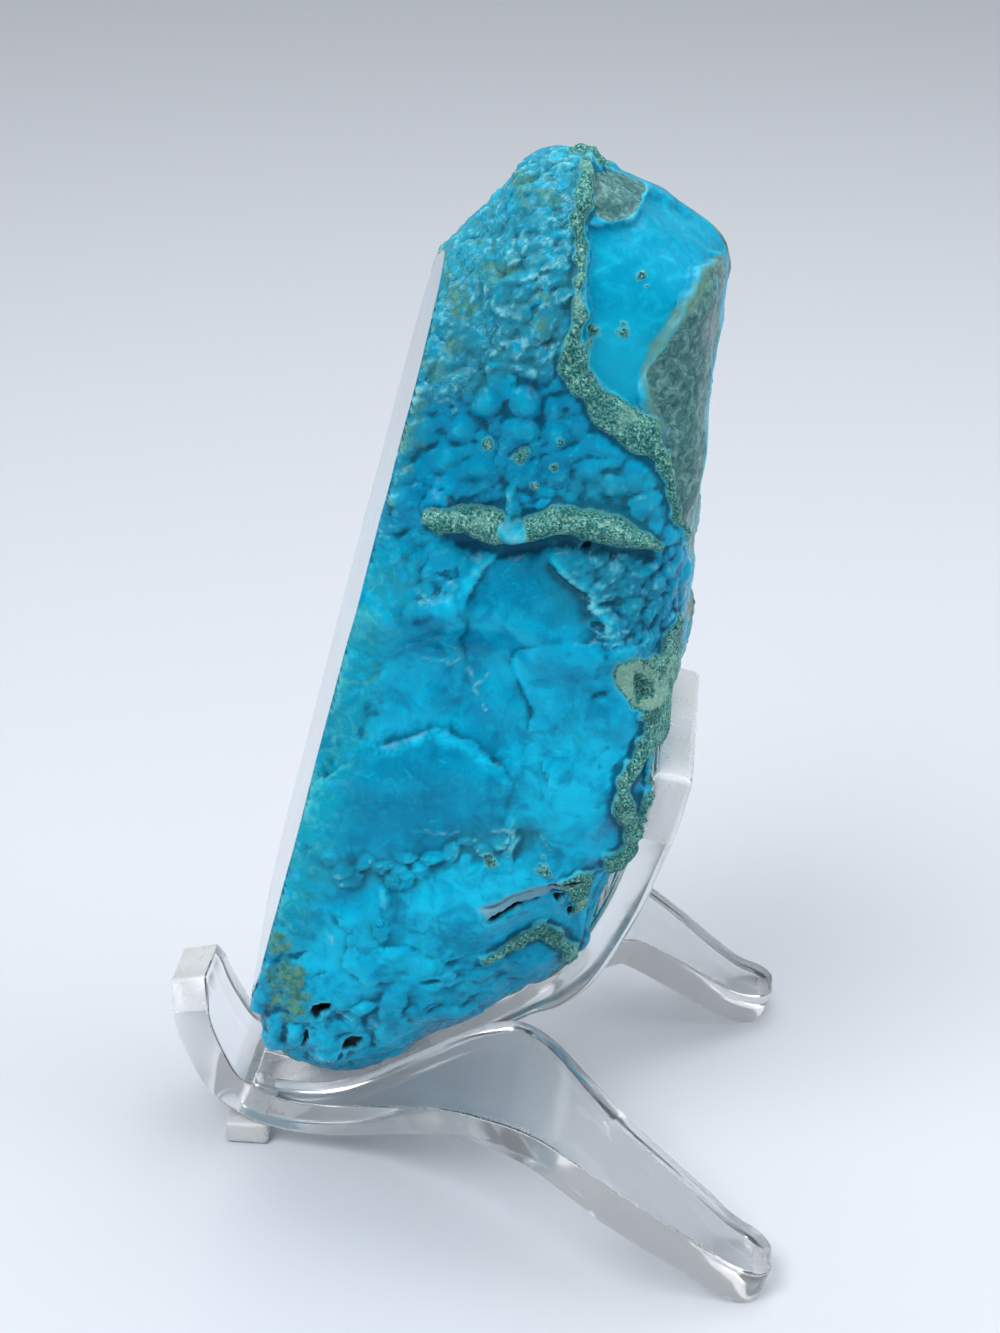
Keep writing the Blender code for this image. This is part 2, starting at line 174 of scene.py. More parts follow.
# The soft greenish border between the smooth plane and the quartz.
BORDER_PX = [
    (716, 262, 6), (704, 278, 9), (690, 302, 9), (675, 328, 7), (658, 352, 6), (646, 380, 6),
    (652, 408, 6), (664, 436, 4), (669, 462, 2),
]
# Granular green crust.
CRUST_LINES_PX = [
    [(588, 165, 6), (585, 202, 8), (581, 229, 7), (579, 256, 4.5), (579, 290, 5), (580, 321, 7),
     (575, 350, 9), (571, 367, 13), (588, 391, 10), (613, 414, 15), (642, 434, 17), (660, 455, 8),
     (666, 475, 3), (672, 499, 3), (684, 540, 3)],
    [(552, 146, 1), (568, 147, 2), (584, 150, 3), (600, 157, 3), (620, 160, 1)],
    [(428, 513, 5), (445, 516, 11), (470, 520, 15), (493, 527, 16), (514, 529, 15), (535, 525, 12),
     (556, 518, 13), (575, 522, 14), (595, 526, 15), (612, 529, 16), (630, 536, 13), (645, 541, 9),
     (657, 545, 3)],
    [(676, 618, 5), (670, 645, 9), (666, 668, 11), (657, 700, 12), (648, 735, 12), (636, 758, 7),
     (624, 778, 8), (622, 805, 9), (636, 826, 10), (634, 848, 10), (612, 862, 9)],
    [(649, 752, 2), (648, 776, 2), (644, 806, 6), (641, 836, 6)],
    [(565, 886, 5), (583, 884, 12), (580, 905, 9), (574, 916, 4)],
    [(484, 957, 2), (505, 948, 4), (525, 938, 5), (543, 929, 6), (556, 938, 8), (570, 953, 6),
     (575, 966, 2)],
]
CRUST_HEIGHT = 0.55
FRAY_PX = 3.5  # how far the crust's edges fray
PALE_SIDED = 0  # the line with a pale edge on one side
LEDGE = 2  # the line that stands out as a ledge
LEDGE_HEIGHT = 1.3
LEDGE_ROUND_PX = 12.0
LEDGE_UNDER_PX = 17
LEDGE_UNDERCUT = 0.5
LEDGE_TOP_PX = 7
# The bulb of a drip over the ledge, then its stalk.
DRIP_PX = [(516, 525, 15, 11, 0), (514, 509, 9, 11, 10), (511, 494, 5, 9, 0)]
DRIP_HEIGHT = 0.5
# The pale lobe at the right edge and its sunken core, which gets painted shade.
PALE_LOBE_PX = [
    (609, 668), (613, 659), (625, 655), (646, 657), (662, 655), (676, 645), (672, 690), (658, 706),
    (642, 712), (632, 708), (623, 696), (613, 681),
]
LOBE_CORE_PX = [(634, 675), (644, 679), (651, 692), (645, 698), (637, 700)]
LOBE_CORE_DEPTH = 0.35
# Small spots of crust: across, down, radius.
SPOTS_PX = [
    (488, 442, 6), (521, 460, 6), (553, 465, 5), (644, 273, 4), (647, 284, 3), (627, 333, 6),
    (597, 333, 5), (492, 857, 6), (546, 869, 6), (560, 440, 3), (533, 484, 4), (590, 345, 4),
]
SPOT_HEIGHT = 0.1
LOBE_SHARE = 0.85
# Round lobes that overlap.
LOBES_PX = [
    (486, 401, 17, 18, 0, 0.85), (523, 402, 19, 19, 0, 0.95), (521, 428, 18, 17, 0, 0.85),
    (445, 457, 20, 18, 20, 0.75), (479, 468, 16, 14, 0, 0.6), (462, 428, 15, 15, 0, 0.6),
    (425, 432, 13, 15, 0, 0.45), (500, 378, 12, 11, 0, 0.45), (553, 408, 11, 12, 0, 0.5),
    (556, 432, 12, 13, 0, 0.5), (590, 470, 13, 12, 0, 0.5), (612, 485, 12, 11, 0, 0.45),
    (560, 478, 12, 11, 0, 0.45), (263, 972, 9, 11, 0, 1.1), (262, 1000, 11, 15, 0, 1.0),
    (277, 1037, 16, 14, 0, 1.1), (322, 1040, 22, 16, 0, 0.7), (360, 1045, 18, 12, 0, 0.5),
    (390, 1025, 22, 16, 20, 0.5),
]
# Lumps are stretched along a line that rises to the right.
SLANT = np.array([[0.78, 0.0, -0.17], [0.0, 1.0, 0.0], [-0.17, 0.0, 0.87]])
TOP_TRIM = 0.55  # how far the very top is lowered
TOP_TRIM_FROM = 80.0
# Broad soft swellings.
SWELLS_PX = [
    (545, 622, 46, 52, 0, 0.25), (562, 690, 40, 62, -4, 0.4), (490, 700, 50, 50, 25, 0.45),
    (425, 785, 110, 70, 12, 0.75), (345, 700, 36, 60, 0, 0.3), (390, 640, 46, 46, 0, 0.35),
    (400, 570, 40, 36, 0, 0.35), (575, 800, 46, 76, 20, 0.5), (470, 905, 100, 52, -18, 0.55),
    (360, 960, 70, 56, 30, 0.6), (540, 960, 70, 30, -14, 0.35),
]
# Edges where one flow lies over another: height, reach of the raised side and width of its
# rounded edge in pixels, which side is raised (1 below a line that runs to the right), line.
STEPS_PX = [
    (0.42, 110, 26, 1, [(362, 757), (382, 746), (407, 737), (430, 730), (447, 729), (470, 740),
        (489, 753), (505, 768), (513, 785), (513, 805)]),
    (0.34, 70, 15, -1, [(560, 644), (540, 645), (522, 650), (511, 660), (514, 672), (522, 683),
        (528, 694), (530, 708), (530, 722), (534, 738), (538, 752)]),
    (0.5, 36, 18, -1, [(462, 620), (466, 602), (474, 586), (484, 570), (500, 556), (520, 548)]),
    (0.65, 30, 11, -1, [(540, 548), (560, 572), (575, 586), (590, 598), (588, 610), (600, 626),
        (604, 648)]),
    (0.2, 40, 14, 1, [(400, 690), (408, 712), (402, 738)]),
    (0.25, 40, 16, 1, [(470, 600), (463, 640), (466, 680), (456, 712)]),
    (0.25, 26, 10, 1, [(505, 737), (523, 742), (524, 770), (513, 790)]),
    (0.3, 40, 13, 1, [(425, 585), (452, 600), (463, 622), (455, 640)]),
    (0.3, 36, 13, 1, [(322, 650), (342, 640), (372, 655), (384, 680)]),
    (0.3, 30, 8, 1, [(470, 802), (496, 800), (512, 806)]),
    (0.35, 60, 14, -1, [(325, 905), (350, 930), (345, 960), (365, 985), (410, 975)]),
    (0.3, 60, 14, 1, [(340, 962), (380, 942), (420, 948), (450, 968), (466, 990)]),
]
STEP_FADE_PX = 30.0
# Width of the painted shadow line below a step's edge, then where the painted highlight rim above
# it lies and its width.
SHADOW_LINE_PX = 7.0
HIGHLIGHT_RIM_FROM_PX = 6.0
HIGHLIGHT_RIM_PX = 8.0
# Small soft drips and lumps.
LUMPS_PX = [
    (385, 897, 6, 13, 0, 0.35), (383, 926, 7, 11, 0, 0.3), (392, 1002, 15, 20, 20, 0.5),
    (418, 1012, 13, 11, 0, 0.4), (352, 1022, 14, 11, 0, 0.5), (335, 1052, 14, 10, 0, 0.5),
    (456, 1000, 18, 12, -20, 0.25), (444, 976, 14, 12, 0, 0.2), (363, 1009, 17, 9, -20, 0.6),
    (385, 1036, 14, 11, 0, 0.55), (338, 1027, 11, 8, 20, 0.5), (295, 1031, 8, 13, 10, 0.6),
    (277, 1022, 9, 11, 0, 0.6), (296, 1008, 8, 10, 0, 0.4), (320, 1053, 13, 8, 10, 0.5),
]
# A row of small folds.
FOLDS_PX = [
    (330, 858, 10, 7, 30, 0.4), (349, 874, 15, 10, 12, 0.65), (366, 862, 9, 6, -20, 0.35),
    (383, 868, 12, 6, -8, 0.45), (400, 876, 15, 11, 5, 0.7), (407, 858, 12, 5, -8, 0.4),
    (421, 868, 9, 7, 30, 0.4), (434, 856, 13, 6, -12, 0.5), (452, 852, 10, 8, -20, 0.55),
    (466, 862, 8, 5, -30, 0.35), (470, 842, 12, 4, -4, 0.35), (486, 850, 8, 8, 0, 0.5),
    (500, 838, 7, 10, 25, 0.6), (511, 842, 5, 12, 20, 0.5), (512, 822, 6, 8, 0, 0.35),
    (296, 845, 12, 9, 0, 0.3), (306, 868, 10, 8, 0, 0.25), (520, 862, 6, 5, 0, 0.25),
]
# A crack, with a drop below it and a dark slot at its start.
CRACK_PX = [(478, 908), (499, 899), (532, 891), (565, 885), (604, 873), (640, 859)]
CRACK_DROP = 0.5
CRACK_WIDTH_PX = 5.0
CRACK_REACH_PX = 50.0
CRACK_DEPTH = 0.5
SLOT_PX = [(487, 917, 1.5), (498, 914, 3.5), (511, 911, 3.5), (524, 907, 2), (540, 903, 0.5)]
SLOT_DEPTH = 0.8
HOLE_SHARE = 0.55
HOLE_RIM_HEIGHT = 0.12
DARK_DEPTH = 0.85  # holes deeper than this get painted shade inside
HOLES_PX = [
    (319, 1007, 11, 5, -24, 1.8), (304, 1034, 2, 7, 20, 1.0), (352, 1042, 10, 3.5, -15, 0.95),
    (341, 1050, 4, 3, 0, 0.7), (641, 772, 10, 13, 10, 0.4), (646, 788, 3, 5, 0, 0.5),
    (585, 548, 6, 5, 0, 0.9), (563, 901, 5, 3, -20, 1.0), (571, 915, 3, 4, 0, 0.95),
    (597, 628, 7, 4, 25, 0.6),
]
# Rough ground outside the lumps: amount, outline.
ROUGH_PATCHES_PX = [
    (1.1, [(545, 548), (600, 552), (640, 556), (668, 558), (676, 600), (655, 636), (628, 654),
        (606, 652), (598, 628), (585, 603), (580, 588), (560, 572)]),
    (0.45, [(588, 650), (606, 660), (612, 700), (630, 760), (612, 800), (585, 770), (578, 700)]),
    (0.4, [(372, 560), (400, 545), (470, 590), (455, 640), (400, 690), (380, 760), (320, 850),
        (300, 930), (272, 960), (262, 900)]),
    (0.75, [(272, 905), (300, 925), (318, 960), (306, 1010), (262, 1020), (250, 960)]),
    (0.7, [(255, 1010), (320, 990), (400, 1010), (430, 1030), (380, 1075), (260, 1070)]),
]
UPPER_LEFT_PX = [
    (398, 430), (417, 340), (440, 250), (500, 175), (549, 140), (600, 150), (590, 200), (574, 260),
    (574, 330), (560, 370),
]
BUBBLY_PX = [
    (380, 545), (372, 560), *UPPER_LEFT_PX, (600, 430), (650, 470), (680, 500), (700, 560),
    (690, 620), (650, 660), (600, 655), (590, 600), (560, 560), (540, 545), (500, 555), (470, 585),
    (440, 600),
]
SMALL_BUMPS_PX = [(380, 545), *UPPER_LEFT_PX, (500, 380), (470, 395), (430, 400)]
OLIVE_SHARE = 0.72  # strength of the olive stains, which are across, down, radius
MOSS_PX = [
    (268, 926), (290, 930), (302, 952), (304, 972), (311, 990), (306, 1014), (292, 1022),
    (276, 1006), (266, 978),
]
OLIVE_PX = [
    (440, 260, 34), (470, 215, 26), (520, 180, 22), (545, 200, 24), (460, 300, 30), (430, 370, 26),
    (500, 270, 26), (410, 440, 22), (412, 470, 16), (540, 320, 20), (455, 345, 26), (395, 500, 14),
    (368, 555, 10), (545, 296, 16), (585, 185, 12), (480, 245, 16), (420, 405, 18),
]
WRINKLE_PX = [
    (426, 960), (470, 952), (520, 962), (575, 950), (592, 950), (585, 975), (540, 992), (500, 1008),
    (440, 1024), (418, 1010),
]
WRINKLE_TURN_DEG = -14.0
WRINKLE_SIZE_PX = (34.0, 5.5)  # along and over
WRINKLE_HEIGHT = 0.24
LENS_PX = [
    (477, 908), (496, 896), (532, 887), (562, 882), (568, 888), (548, 899), (522, 907), (496, 914),
]
# Where the blue is paler, partly as painted highlight, then where it's deeper, partly as painted
# shade.
PALE_TONE_AND_HIGHLIGHT_PX = [
    (560, 790, 46, 80, 20, 0.7), (470, 890, 80, 40, -10, 0.8), (400, 900, 40, 34, 0, 0.4),
    (350, 960, 60, 44, 20, 0.7), (430, 965, 60, 30, 20, 0.6), (500, 650, 40, 40, 0, 0.45),
    (420, 640, 50, 50, 0, 0.35), (400, 735, 60, 14, -12, 0.5), (600, 890, 30, 60, 20, 0.4),
    (300, 880, 30, 60, 15, 0.3), (545, 720, 20, 60, 0, 0.4), (340, 1026, 66, 26, 0, 0.8),
    (690, 480, 16, 60, 0, 0.3), (618, 365, 40, 44, 0, 0.6),
]
DEEP_TONE_AND_SHADE_PX = [
    (500, 425, 95, 70, 0, 0.7), (480, 340, 90, 60, -30, 0.4), (635, 600, 56, 56, 0, 0.95),
    (535, 585, 62, 48, 0, 0.75), (430, 800, 100, 62, 10, 0.6), (400, 560, 50, 30, 0, 0.3),
    (500, 700, 44, 60, 20, 0.4), (560, 465, 90, 40, 20, 0.5), (560, 700, 40, 60, 0, 0.25),
    (370, 900, 46, 40, 0, 0.35), (520, 990, 80, 26, -14, 0.45), (500, 930, 90, 20, -14, 0.3),
]
# Short bright ridges, as lines of one width.
GLINT_HALF_PX = 0.6
GLINT_HEIGHT = 0.16
GLINTS_PX = [
    [(418, 588), (426, 598), (437, 607)], [(420, 601), (430, 608)],
    [(426, 657), (439, 659), (452, 661), (460, 656)], [(445, 640), (458, 647), (464, 655)],
    [(466, 668), (474, 676), (475, 686), (481, 692)], [(488, 672), (484, 680), (476, 686)],
    [(483, 701), (485, 709)], [(595, 638), (612, 635), (627, 633)], [(602, 644), (617, 641)],
    [(582, 597), (596, 603), (610, 600)], [(441, 401), (451, 399), (458, 404), (454, 412)],
    [(464, 288), (474, 292), (472, 299)], [(512, 238), (514, 246), (509, 253)],
    [(521, 234), (527, 243)], [(563, 196), (572, 202)], [(495, 303), (491, 312)],
    [(502, 307), (508, 316)], [(422, 830), (440, 833), (458, 829)],
    [(494, 826), (507, 824), (512, 833)], [(539, 833), (546, 842), (550, 853)],
    [(327, 934), (335, 940)], [(321, 691), (334, 694)], [(340, 1010), (352, 1014), (362, 1024)],
    [(300, 1040), (312, 1047), (326, 1050)], [(372, 1018), (384, 1026)],
]
# Places with painted glint threads and a greyer tone, besides the small bumps.
GLINT_ZONES_PX = [
    (500, 838, 44, 16, -10, 0.6), (600, 590, 50, 44, 0, 0.5), (620, 500, 60, 26, 10, 0.5),
    (352, 870, 40, 14, 0, 0.5), (410, 590, 36, 16, 0, 0.4),
]
LEFT_EDGE_PX = [
    (420, 350), (403, 420), (380, 515), (364, 575), (351, 620), (340, 673), (328, 717), (316, 752),
    (302, 802), (287, 860), (277, 900),
]
LEFT_STRIP_PX = 62.0
LEFT_STRIP_FROM_PX = 520.0


def smooth_rows(line, between):
    """The rows of a line with Catmull-Rom rows put between them."""
    rows = []
    for i in range(len(line) - 1):
        before = line[max(i - 1, 0)]
        after = line[min(i + 2, len(line) - 1)]
        for step in range(between):
            t = step / between
            rows.append(tuple(
                0.5 * (2 * b + (c - a) * t + (2 * a - 5 * b + 4 * c - d) * t * t
                       + (3 * b - a - 3 * c + d) * t ** 3)
                for a, b, c, d in zip(before, line[i], line[i + 1], after)
            ))
    return rows + [line[-1]]


# ---- fields over the stone

def ramp(value):
    value = np.clip(value, 0.0, 1.0)
    return value * value * (3 - 2 * value)


def view_axes():
    turn = math.radians(CAMERA_TURN_DEG)
    tilt = math.radians(CAMERA_TILT_DEG)
    forward = Vector((-math.sin(turn) * math.cos(tilt), math.cos(turn) * math.cos(tilt),
                      -math.sin(tilt)))
    right = Vector((math.cos(turn), math.sin(turn), 0.0))
    return forward, right, forward.cross(right)


def to_view(points_mm):
    """Where each point lies in the view, in pixels, and the direction that it's seen along."""
    forward, right, down = (np.array(axis) for axis in view_axes())
    away = points_mm - np.array(CAMERA_MM)
    depth = away @ forward
    across = VIEW_SIZE_PX[0] / 2 + FOCAL_PX * (away @ right) / depth
    below = VIEW_SIZE_PX[1] / 2 + FOCAL_PX * (away @ down) / depth
    return across, below, away / np.linalg.norm(away, axis=1)[:, None]


def hashed(cells, seed):
    """Three repeatable numbers from 0 to 1 for each integer cell."""
    mixed = (cells[..., 0] * 73856093) ^ (cells[..., 1] * 19349663) ^ (cells[..., 2] * 83492791)
    mixed = (mixed + seed * 2654435761) & 0xFFFFFFFF
    out = []
    for _ in range(3):
        mixed = (mixed ^ (mixed >> 16)) * 0x45D9F3B & 0xFFFFFFFF
        mixed = (mixed ^ (mixed >> 13)) * 0x119DE1F3 & 0xFFFFFFFF
        out.append((mixed & 0xFFFFFF) / 0xFFFFFF)
    return np.stack(out, axis=-1)


def balls(points, size, seed):
    """Rounded lumps that meet in sharp valleys, from 0 to 1."""
    scaled = points / size
    base = np.floor(scaled).astype(np.int64)
    first = np.full(len(points), 9.0)
    own = np.zeros(len(points))
    for step in itertools.product((-1, 0, 1), repeat=3):
        cell = base + np.array(step)
        spot = hashed(cell, seed)
        away = np.linalg.norm(cell + spot - scaled, axis=1)
        own = np.where(away < first, spot[:, 0], own)
        first = np.minimum(first, away)
    return np.sqrt(np.clip(1 - (first / 0.95) ** 2, 0, 1)) * (0.65 + 0.35 * own)


def cloud(points, size, seed, octaves=3):
    """Smooth noise from about -1 to 1."""
    total = np.zeros(len(points))
    weight = 1.0
    for octave in range(octaves):
        scaled = points / size
        base = np.floor(scaled).astype(np.int64)
        part = ramp(scaled - base)
        value = np.zeros(len(points))
        for step in itertools.product((0, 1), repeat=3):
            corner = hashed(base + np.array(step), seed + octave)[:, 0]
            value += corner * np.abs(1 - np.array(step) - part).prod(axis=1)
        total += weight * (2 * value - 1)
        weight *= 0.5
        size *= 0.5
    return total


def ridges(points, size, seed):
    """Narrow wet-looking crests with soft ground between, from 0 to 1."""
    return np.clip(1 - 2.4 * np.abs(cloud(points @ SLANT, size, seed, 3)), 0, 1) ** 2


def most(masks):
    """The highest of several masks at each point."""
    return functools.reduce(np.maximum, masks)


class Skin:
    """The stone's skin as arrays: places in mm and in the view, lumps, relief and fields."""

    def __init__(self, points_mm, normals):
        self.points = points_mm
        self.warped = points_mm + WARP_MM * np.stack(
            [cloud(points_mm, WARP_SIZE_MM, seed, 2) for seed in (31, 37, 41)], axis=1)
        self.coarse = balls(self.warped @ SLANT, COARSE_MM, 3)
        self.fine = balls(self.warped @ SLANT, FINE_MM, 5)
        self.finest = balls(points_mm, FINEST_MM, 7)
        across, below, seen = to_view(points_mm)
        facing = -(normals * seen).sum(axis=1)
        over_top = NEAR_MM * ramp((points_mm[:, 2] - OVER_TOP_FROM_MM) / 10)
        near = ramp((over_top - points_mm[:, 1] + NEAR_MM) / 5)
        self.front = ramp(facing * 4.0 + 0.25) * near
        self.wrapped = ramp(facing * 2.0 + 1.0) * near
        self.across = across + JITTER_PX * cloud(points_mm, JITTER_SIZE_MM, 11, 3)
        self.below = below + JITTER_PX * cloud(points_mm, JITTER_SIZE_MM, 23, 3)
        self.fields = {}

    def nothing(self):
        return np.zeros(len(self.points))

    def to_place(self, x, y):
        return np.hypot(self.across - x, self.below - y)

    def to_line(self, line):
        """Distance in pixels from a line of (across, down, half width), and which side."""
        best = np.full(len(self.points), 1e9)
        side = np.ones(len(self.points))
        ends = [(*place, 0.0)[:3] for place in line]
        for (x0, y0, half0), (x1, y1, half1) in zip(ends, ends[1:]):
            run_x, run_y = x1 - x0, y1 - y0
            past_x, past_y = self.across - x0, self.below - y0
            share = (past_x * run_x + past_y * run_y) / (run_x ** 2 + run_y ** 2)
            share = np.clip(share, 0.0, 1.0)
            away = np.hypot(past_x - share * run_x, past_y - share * run_y)
            away = away - (half0 + (half1 - half0) * share)
            side = np.where(away < best, np.sign(run_x * past_y - run_y * past_x), side)
            best = np.minimum(best, away)
        return best, side

    def to_patch(self, outline):
        """Distance in pixels from a closed outline, below 0 inside it."""
        closed = [*outline, outline[0]]
        inside = np.zeros(len(self.points), bool)
        for (x0, y0), (x1, y1) in zip(closed, closed[1:]):
            if y0 != y1:
                crosses = (y0 > self.below) != (y1 > self.below)
                reached = x0 + (self.below - y0) * (x1 - x0) / (y1 - y0)
                inside ^= crosses & (self.across < reached)
        away, _ = self.to_line(closed)
        return np.where(inside, -away, away)

    def turned(self, centre_x, centre_y, half_x, half_y, turn_deg):
        """How far along and over an oval each point lies, as shares of its size."""
        turn = math.radians(turn_deg)
        dx = self.across - centre_x
        dy = self.below - centre_y
        along = (dx * math.cos(turn) + dy * math.sin(turn)) / half_x
        return along, (dy * math.cos(turn) - dx * math.sin(turn)) / half_y

    def ovals(self, rows):
        """Each row's distance from its oval's centre, and the row's last number."""
        for *oval, amount in rows:
            yield np.hypot(*self.turned(*oval)), amount

    def domes(self, rows, rise=1.0, power=1):
        """The rounded relief of each row's oval."""
        for away, tall in self.ovals(rows):
            yield tall * np.clip(rise - away ** 2, 0, 1) ** power

    def patch(self, outline, soft=4.0):
        return ramp(0.5 - self.to_patch(outline) / soft)

    def band(self, line, soft=4.0):
        return ramp(0.5 - self.to_line(line)[0] / soft)


def rough_ground(skin, bubbly, small):
    """The relief of the large and small lumps that cover the rough ground."""
    mixed = 0.5 * skin.coarse * (1 - 0.2 * small) + (0.3 + 0.4 * small) * skin.fine
    relief = bubbly * (mixed - 0.5)
    relief += bubbly * (0.08 + 0.08 * small) * skin.finest
    crests = ridges(skin.warped, 1.9, 43) + 0.5 * ridges(skin.points, 0.9, 47)
    relief += bubbly * (0.06 + 0.16 * small) * crests
    rough = most(amount * skin.patch(outline, 16.0) for amount, outline in ROUGH_PATCHES_PX)
    return relief + rough * (0.55 * skin.coarse + 0.4 * skin.fine + 0.15 * skin.finest - 0.5)


def flow_forms(skin):
    """The relief of lobes, swellings, lumps and folds, then the share of lobes, and the painted
    shadow line below and the painted highlight rim above each edge where one flow lies over
    another."""
    lobes = most(skin.domes(LOBES_PX))
    height = LOBE_SHARE * lobes * (0.95 + 0.12 * cloud(skin.points, 1.2, 15, 2))
    height += sum(skin.domes(SWELLS_PX, power=2)) + sum(skin.domes(LUMPS_PX))
    shadow_line, highlight_rim = skin.nothing(), skin.nothing()
    for tall, reach, soft, raised, line in STEPS_PX:
        away, side = skin.to_line(line)
        edge = np.clip(away / soft, 0, 1)
        lip = np.sqrt(1 - (1 - edge) ** 2) * ramp(1 - away / reach)
        ends = np.minimum(skin.to_place(*line[0]), skin.to_place(*line[-1]))
        kept = ramp(ends / STEP_FADE_PX)
        upper = side * raised > 0
        height += tall * lip * upper * kept
        kept = min(1.0, 2 * tall) * kept
        # Painted shadow below the edge, painted highlight rim on its raised side.
        shadow_line = np.maximum(shadow_line, kept * ramp(1 - away / SHADOW_LINE_PX) * ~upper)
        highlight_rim = np.maximum(highlight_rim, kept * ramp(1 - np.abs(away - HIGHLIGHT_RIM_FROM_PX) / HIGHLIGHT_RIM_PX) * upper)
    folds = 0.15 + 0.4 * skin.fine + 0.8 * ridges(skin.warped, 1.3, 53)
    height += folds * most(skin.domes(FOLDS_PX, rise=1.3))
    return height, lobes, shadow_line, highlight_rim


def crust_forms(skin, ragged):
    """The relief of the green crust with its ledge and drip, then where the crust lies, where
    it's pale, and where the drip leaves it free."""
    height, crust, pale = skin.nothing(), skin.nothing(), skin.nothing()
    frayed = FRAY_PX * cloud(skin.points, 1.6, 91, 3)
    for number, line in enumerate(CRUST_LINES_PX):
        away, side = skin.to_line(line)
        if number == LEDGE:
            band = ramp(0.5 - away / 10)
            top = [(x, y - LEDGE_TOP_PX, 0.4 * half) for x, y, half in line]
            under = [(x, y + LEDGE_UNDER_PX, half) for x, y, half in line]
            pale = np.maximum(pale, 0.85 * skin.band(top, 12.0))
            height += LEDGE_HEIGHT * np.sqrt(np.clip(-away / LEDGE_ROUND_PX, 0, 1))
            height -= LEDGE_UNDERCUT * skin.band(under, 14.0) * (1 - band)
        else:
            band = ramp(0.5 - (away + frayed) / 6)
            height += CRUST_HEIGHT * band
        crust = np.maximum(crust, band)
        if number == PALE_SIDED:
            pale = np.maximum(pale, ramp(1 - np.abs(away) / 2.5) * (side < 0))
    drip = functools.reduce(np.minimum, (np.hypot(*skin.turned(*oval)) for oval in DRIP_PX))
    height += DRIP_HEIGHT * np.sqrt(np.clip(1.1 - drip, 0, 1))
    off_drip = ramp((drip - 0.8) / 0.5)
    crust *= off_drip
    for x, y, radius in SPOTS_PX:
        spot = ramp(1.4 - skin.to_place(x, y) * ragged / radius)
        crust = np.maximum(crust, 0.75 * spot)
        pale = np.maximum(pale, 0.55 * spot)
        height += SPOT_HEIGHT * spot
    height += crust * 0.16 * (skin.finest - 0.5) + crust * 0.1 * (skin.fine - 0.5)
    return height, crust, pale, off_drip


def break_forms(skin):
    """The relief of the crack, its slot, the small holes and the pale lobe's core, then where
    shade is painted into them, and how much crust the holes leave."""
    away, side = skin.to_line(CRACK_PX)
    past_start = skin.across - CRACK_PX[0][0]
    below_crack = ramp(away / CRACK_WIDTH_PX) * (side > 0)
    reach = ramp(past_start / 40) * ramp(1 - (away - CRACK_REACH_PX) / 40)
    height = -CRACK_DROP * below_crack * reach
    height -= CRACK_DEPTH * ramp(1 - away / 2.5) * ramp(past_start / 15)
    crack = 0.8 * ramp(1.3 - away / 2.0) * ramp((skin.across - CRACK_PX[2][0]) / 15)
    slot = skin.band(SLOT_PX, 2.5)
    height -= SLOT_DEPTH * slot
    core = skin.patch(LOBE_CORE_PX, 5.0)
    height -= LOBE_CORE_DEPTH * core
    # Painted shade in the slot, along the crack and, at half strength, in the lobe's core.
    inner_shade = most((slot, crack, 0.5 * core))
    left = 1.0
    for away, deep in skin.ovals(HOLES_PX):
        height -= HOLE_SHARE * deep * ramp(1.35 - away)
        height += HOLE_RIM_HEIGHT * ramp(1 - np.abs(away - 1.45) / 0.45)
        left = left * ramp(2 * away - 1)
        # Deep holes get painted shade inside.
        if deep > DARK_DEPTH:
            inner_shade = np.maximum(inner_shade, ramp(1.7 - 1.1 * away) * min(1.0, deep - 0.2))
    return height, inner_shade, left


def wrinkles(skin):
    """The relief of the long fine wrinkles near the foot."""
    along, over = skin.turned(0, 0, *WRINKLE_SIZE_PX, WRINKLE_TURN_DEG)
    flat = np.stack([along, over, skin.nothing()], axis=1)
    return skin.patch(WRINKLE_PX, 24.0) * WRINKLE_HEIGHT * cloud(flat, 1.0, 61, 3)


def side_marks(skin):
    """The fields of the sides that the marked features don't reach."""
    points = skin.points
    back = ramp((points[:, 0] - BACK_FROM_MM) / 6) * (1 - skin.front)
    vein = 1.5 - 10 * np.abs(cloud(points, 9.0, 83, 4))
    veins = 0.8 * ramp(vein) * ramp(0.7 + 2.5 * cloud(points, 13.0, 85, 2))
    low = back * ramp(1.3 * cloud(points, 5.0, 89, 4) + 0.1)
    low *= ramp((BACK_CRUST_BELOW_MM - points[:, 2]) / 5)
    quartz = ramp(2.5 * cloud(points, 10.0, 97, 2) + 0.3) * back
    quartz *= ramp((points[:, 2] - BACK_QUARTZ_ABOVE_MM) / 6)
    return {
        "crust": np.maximum(veins, low) * (1 - quartz),
        "quartz": quartz,
        "olive": 0.7 * ramp(2.0 * cloud(points, 5.0, 101, 2) - 0.4),
        "teal": ramp(0.4 + cloud(points, 8.0, 107, 2)),
        "deep": SIDE_TONE, "light": SIDE_TONE, "wet": SIDE_TONE,
    }


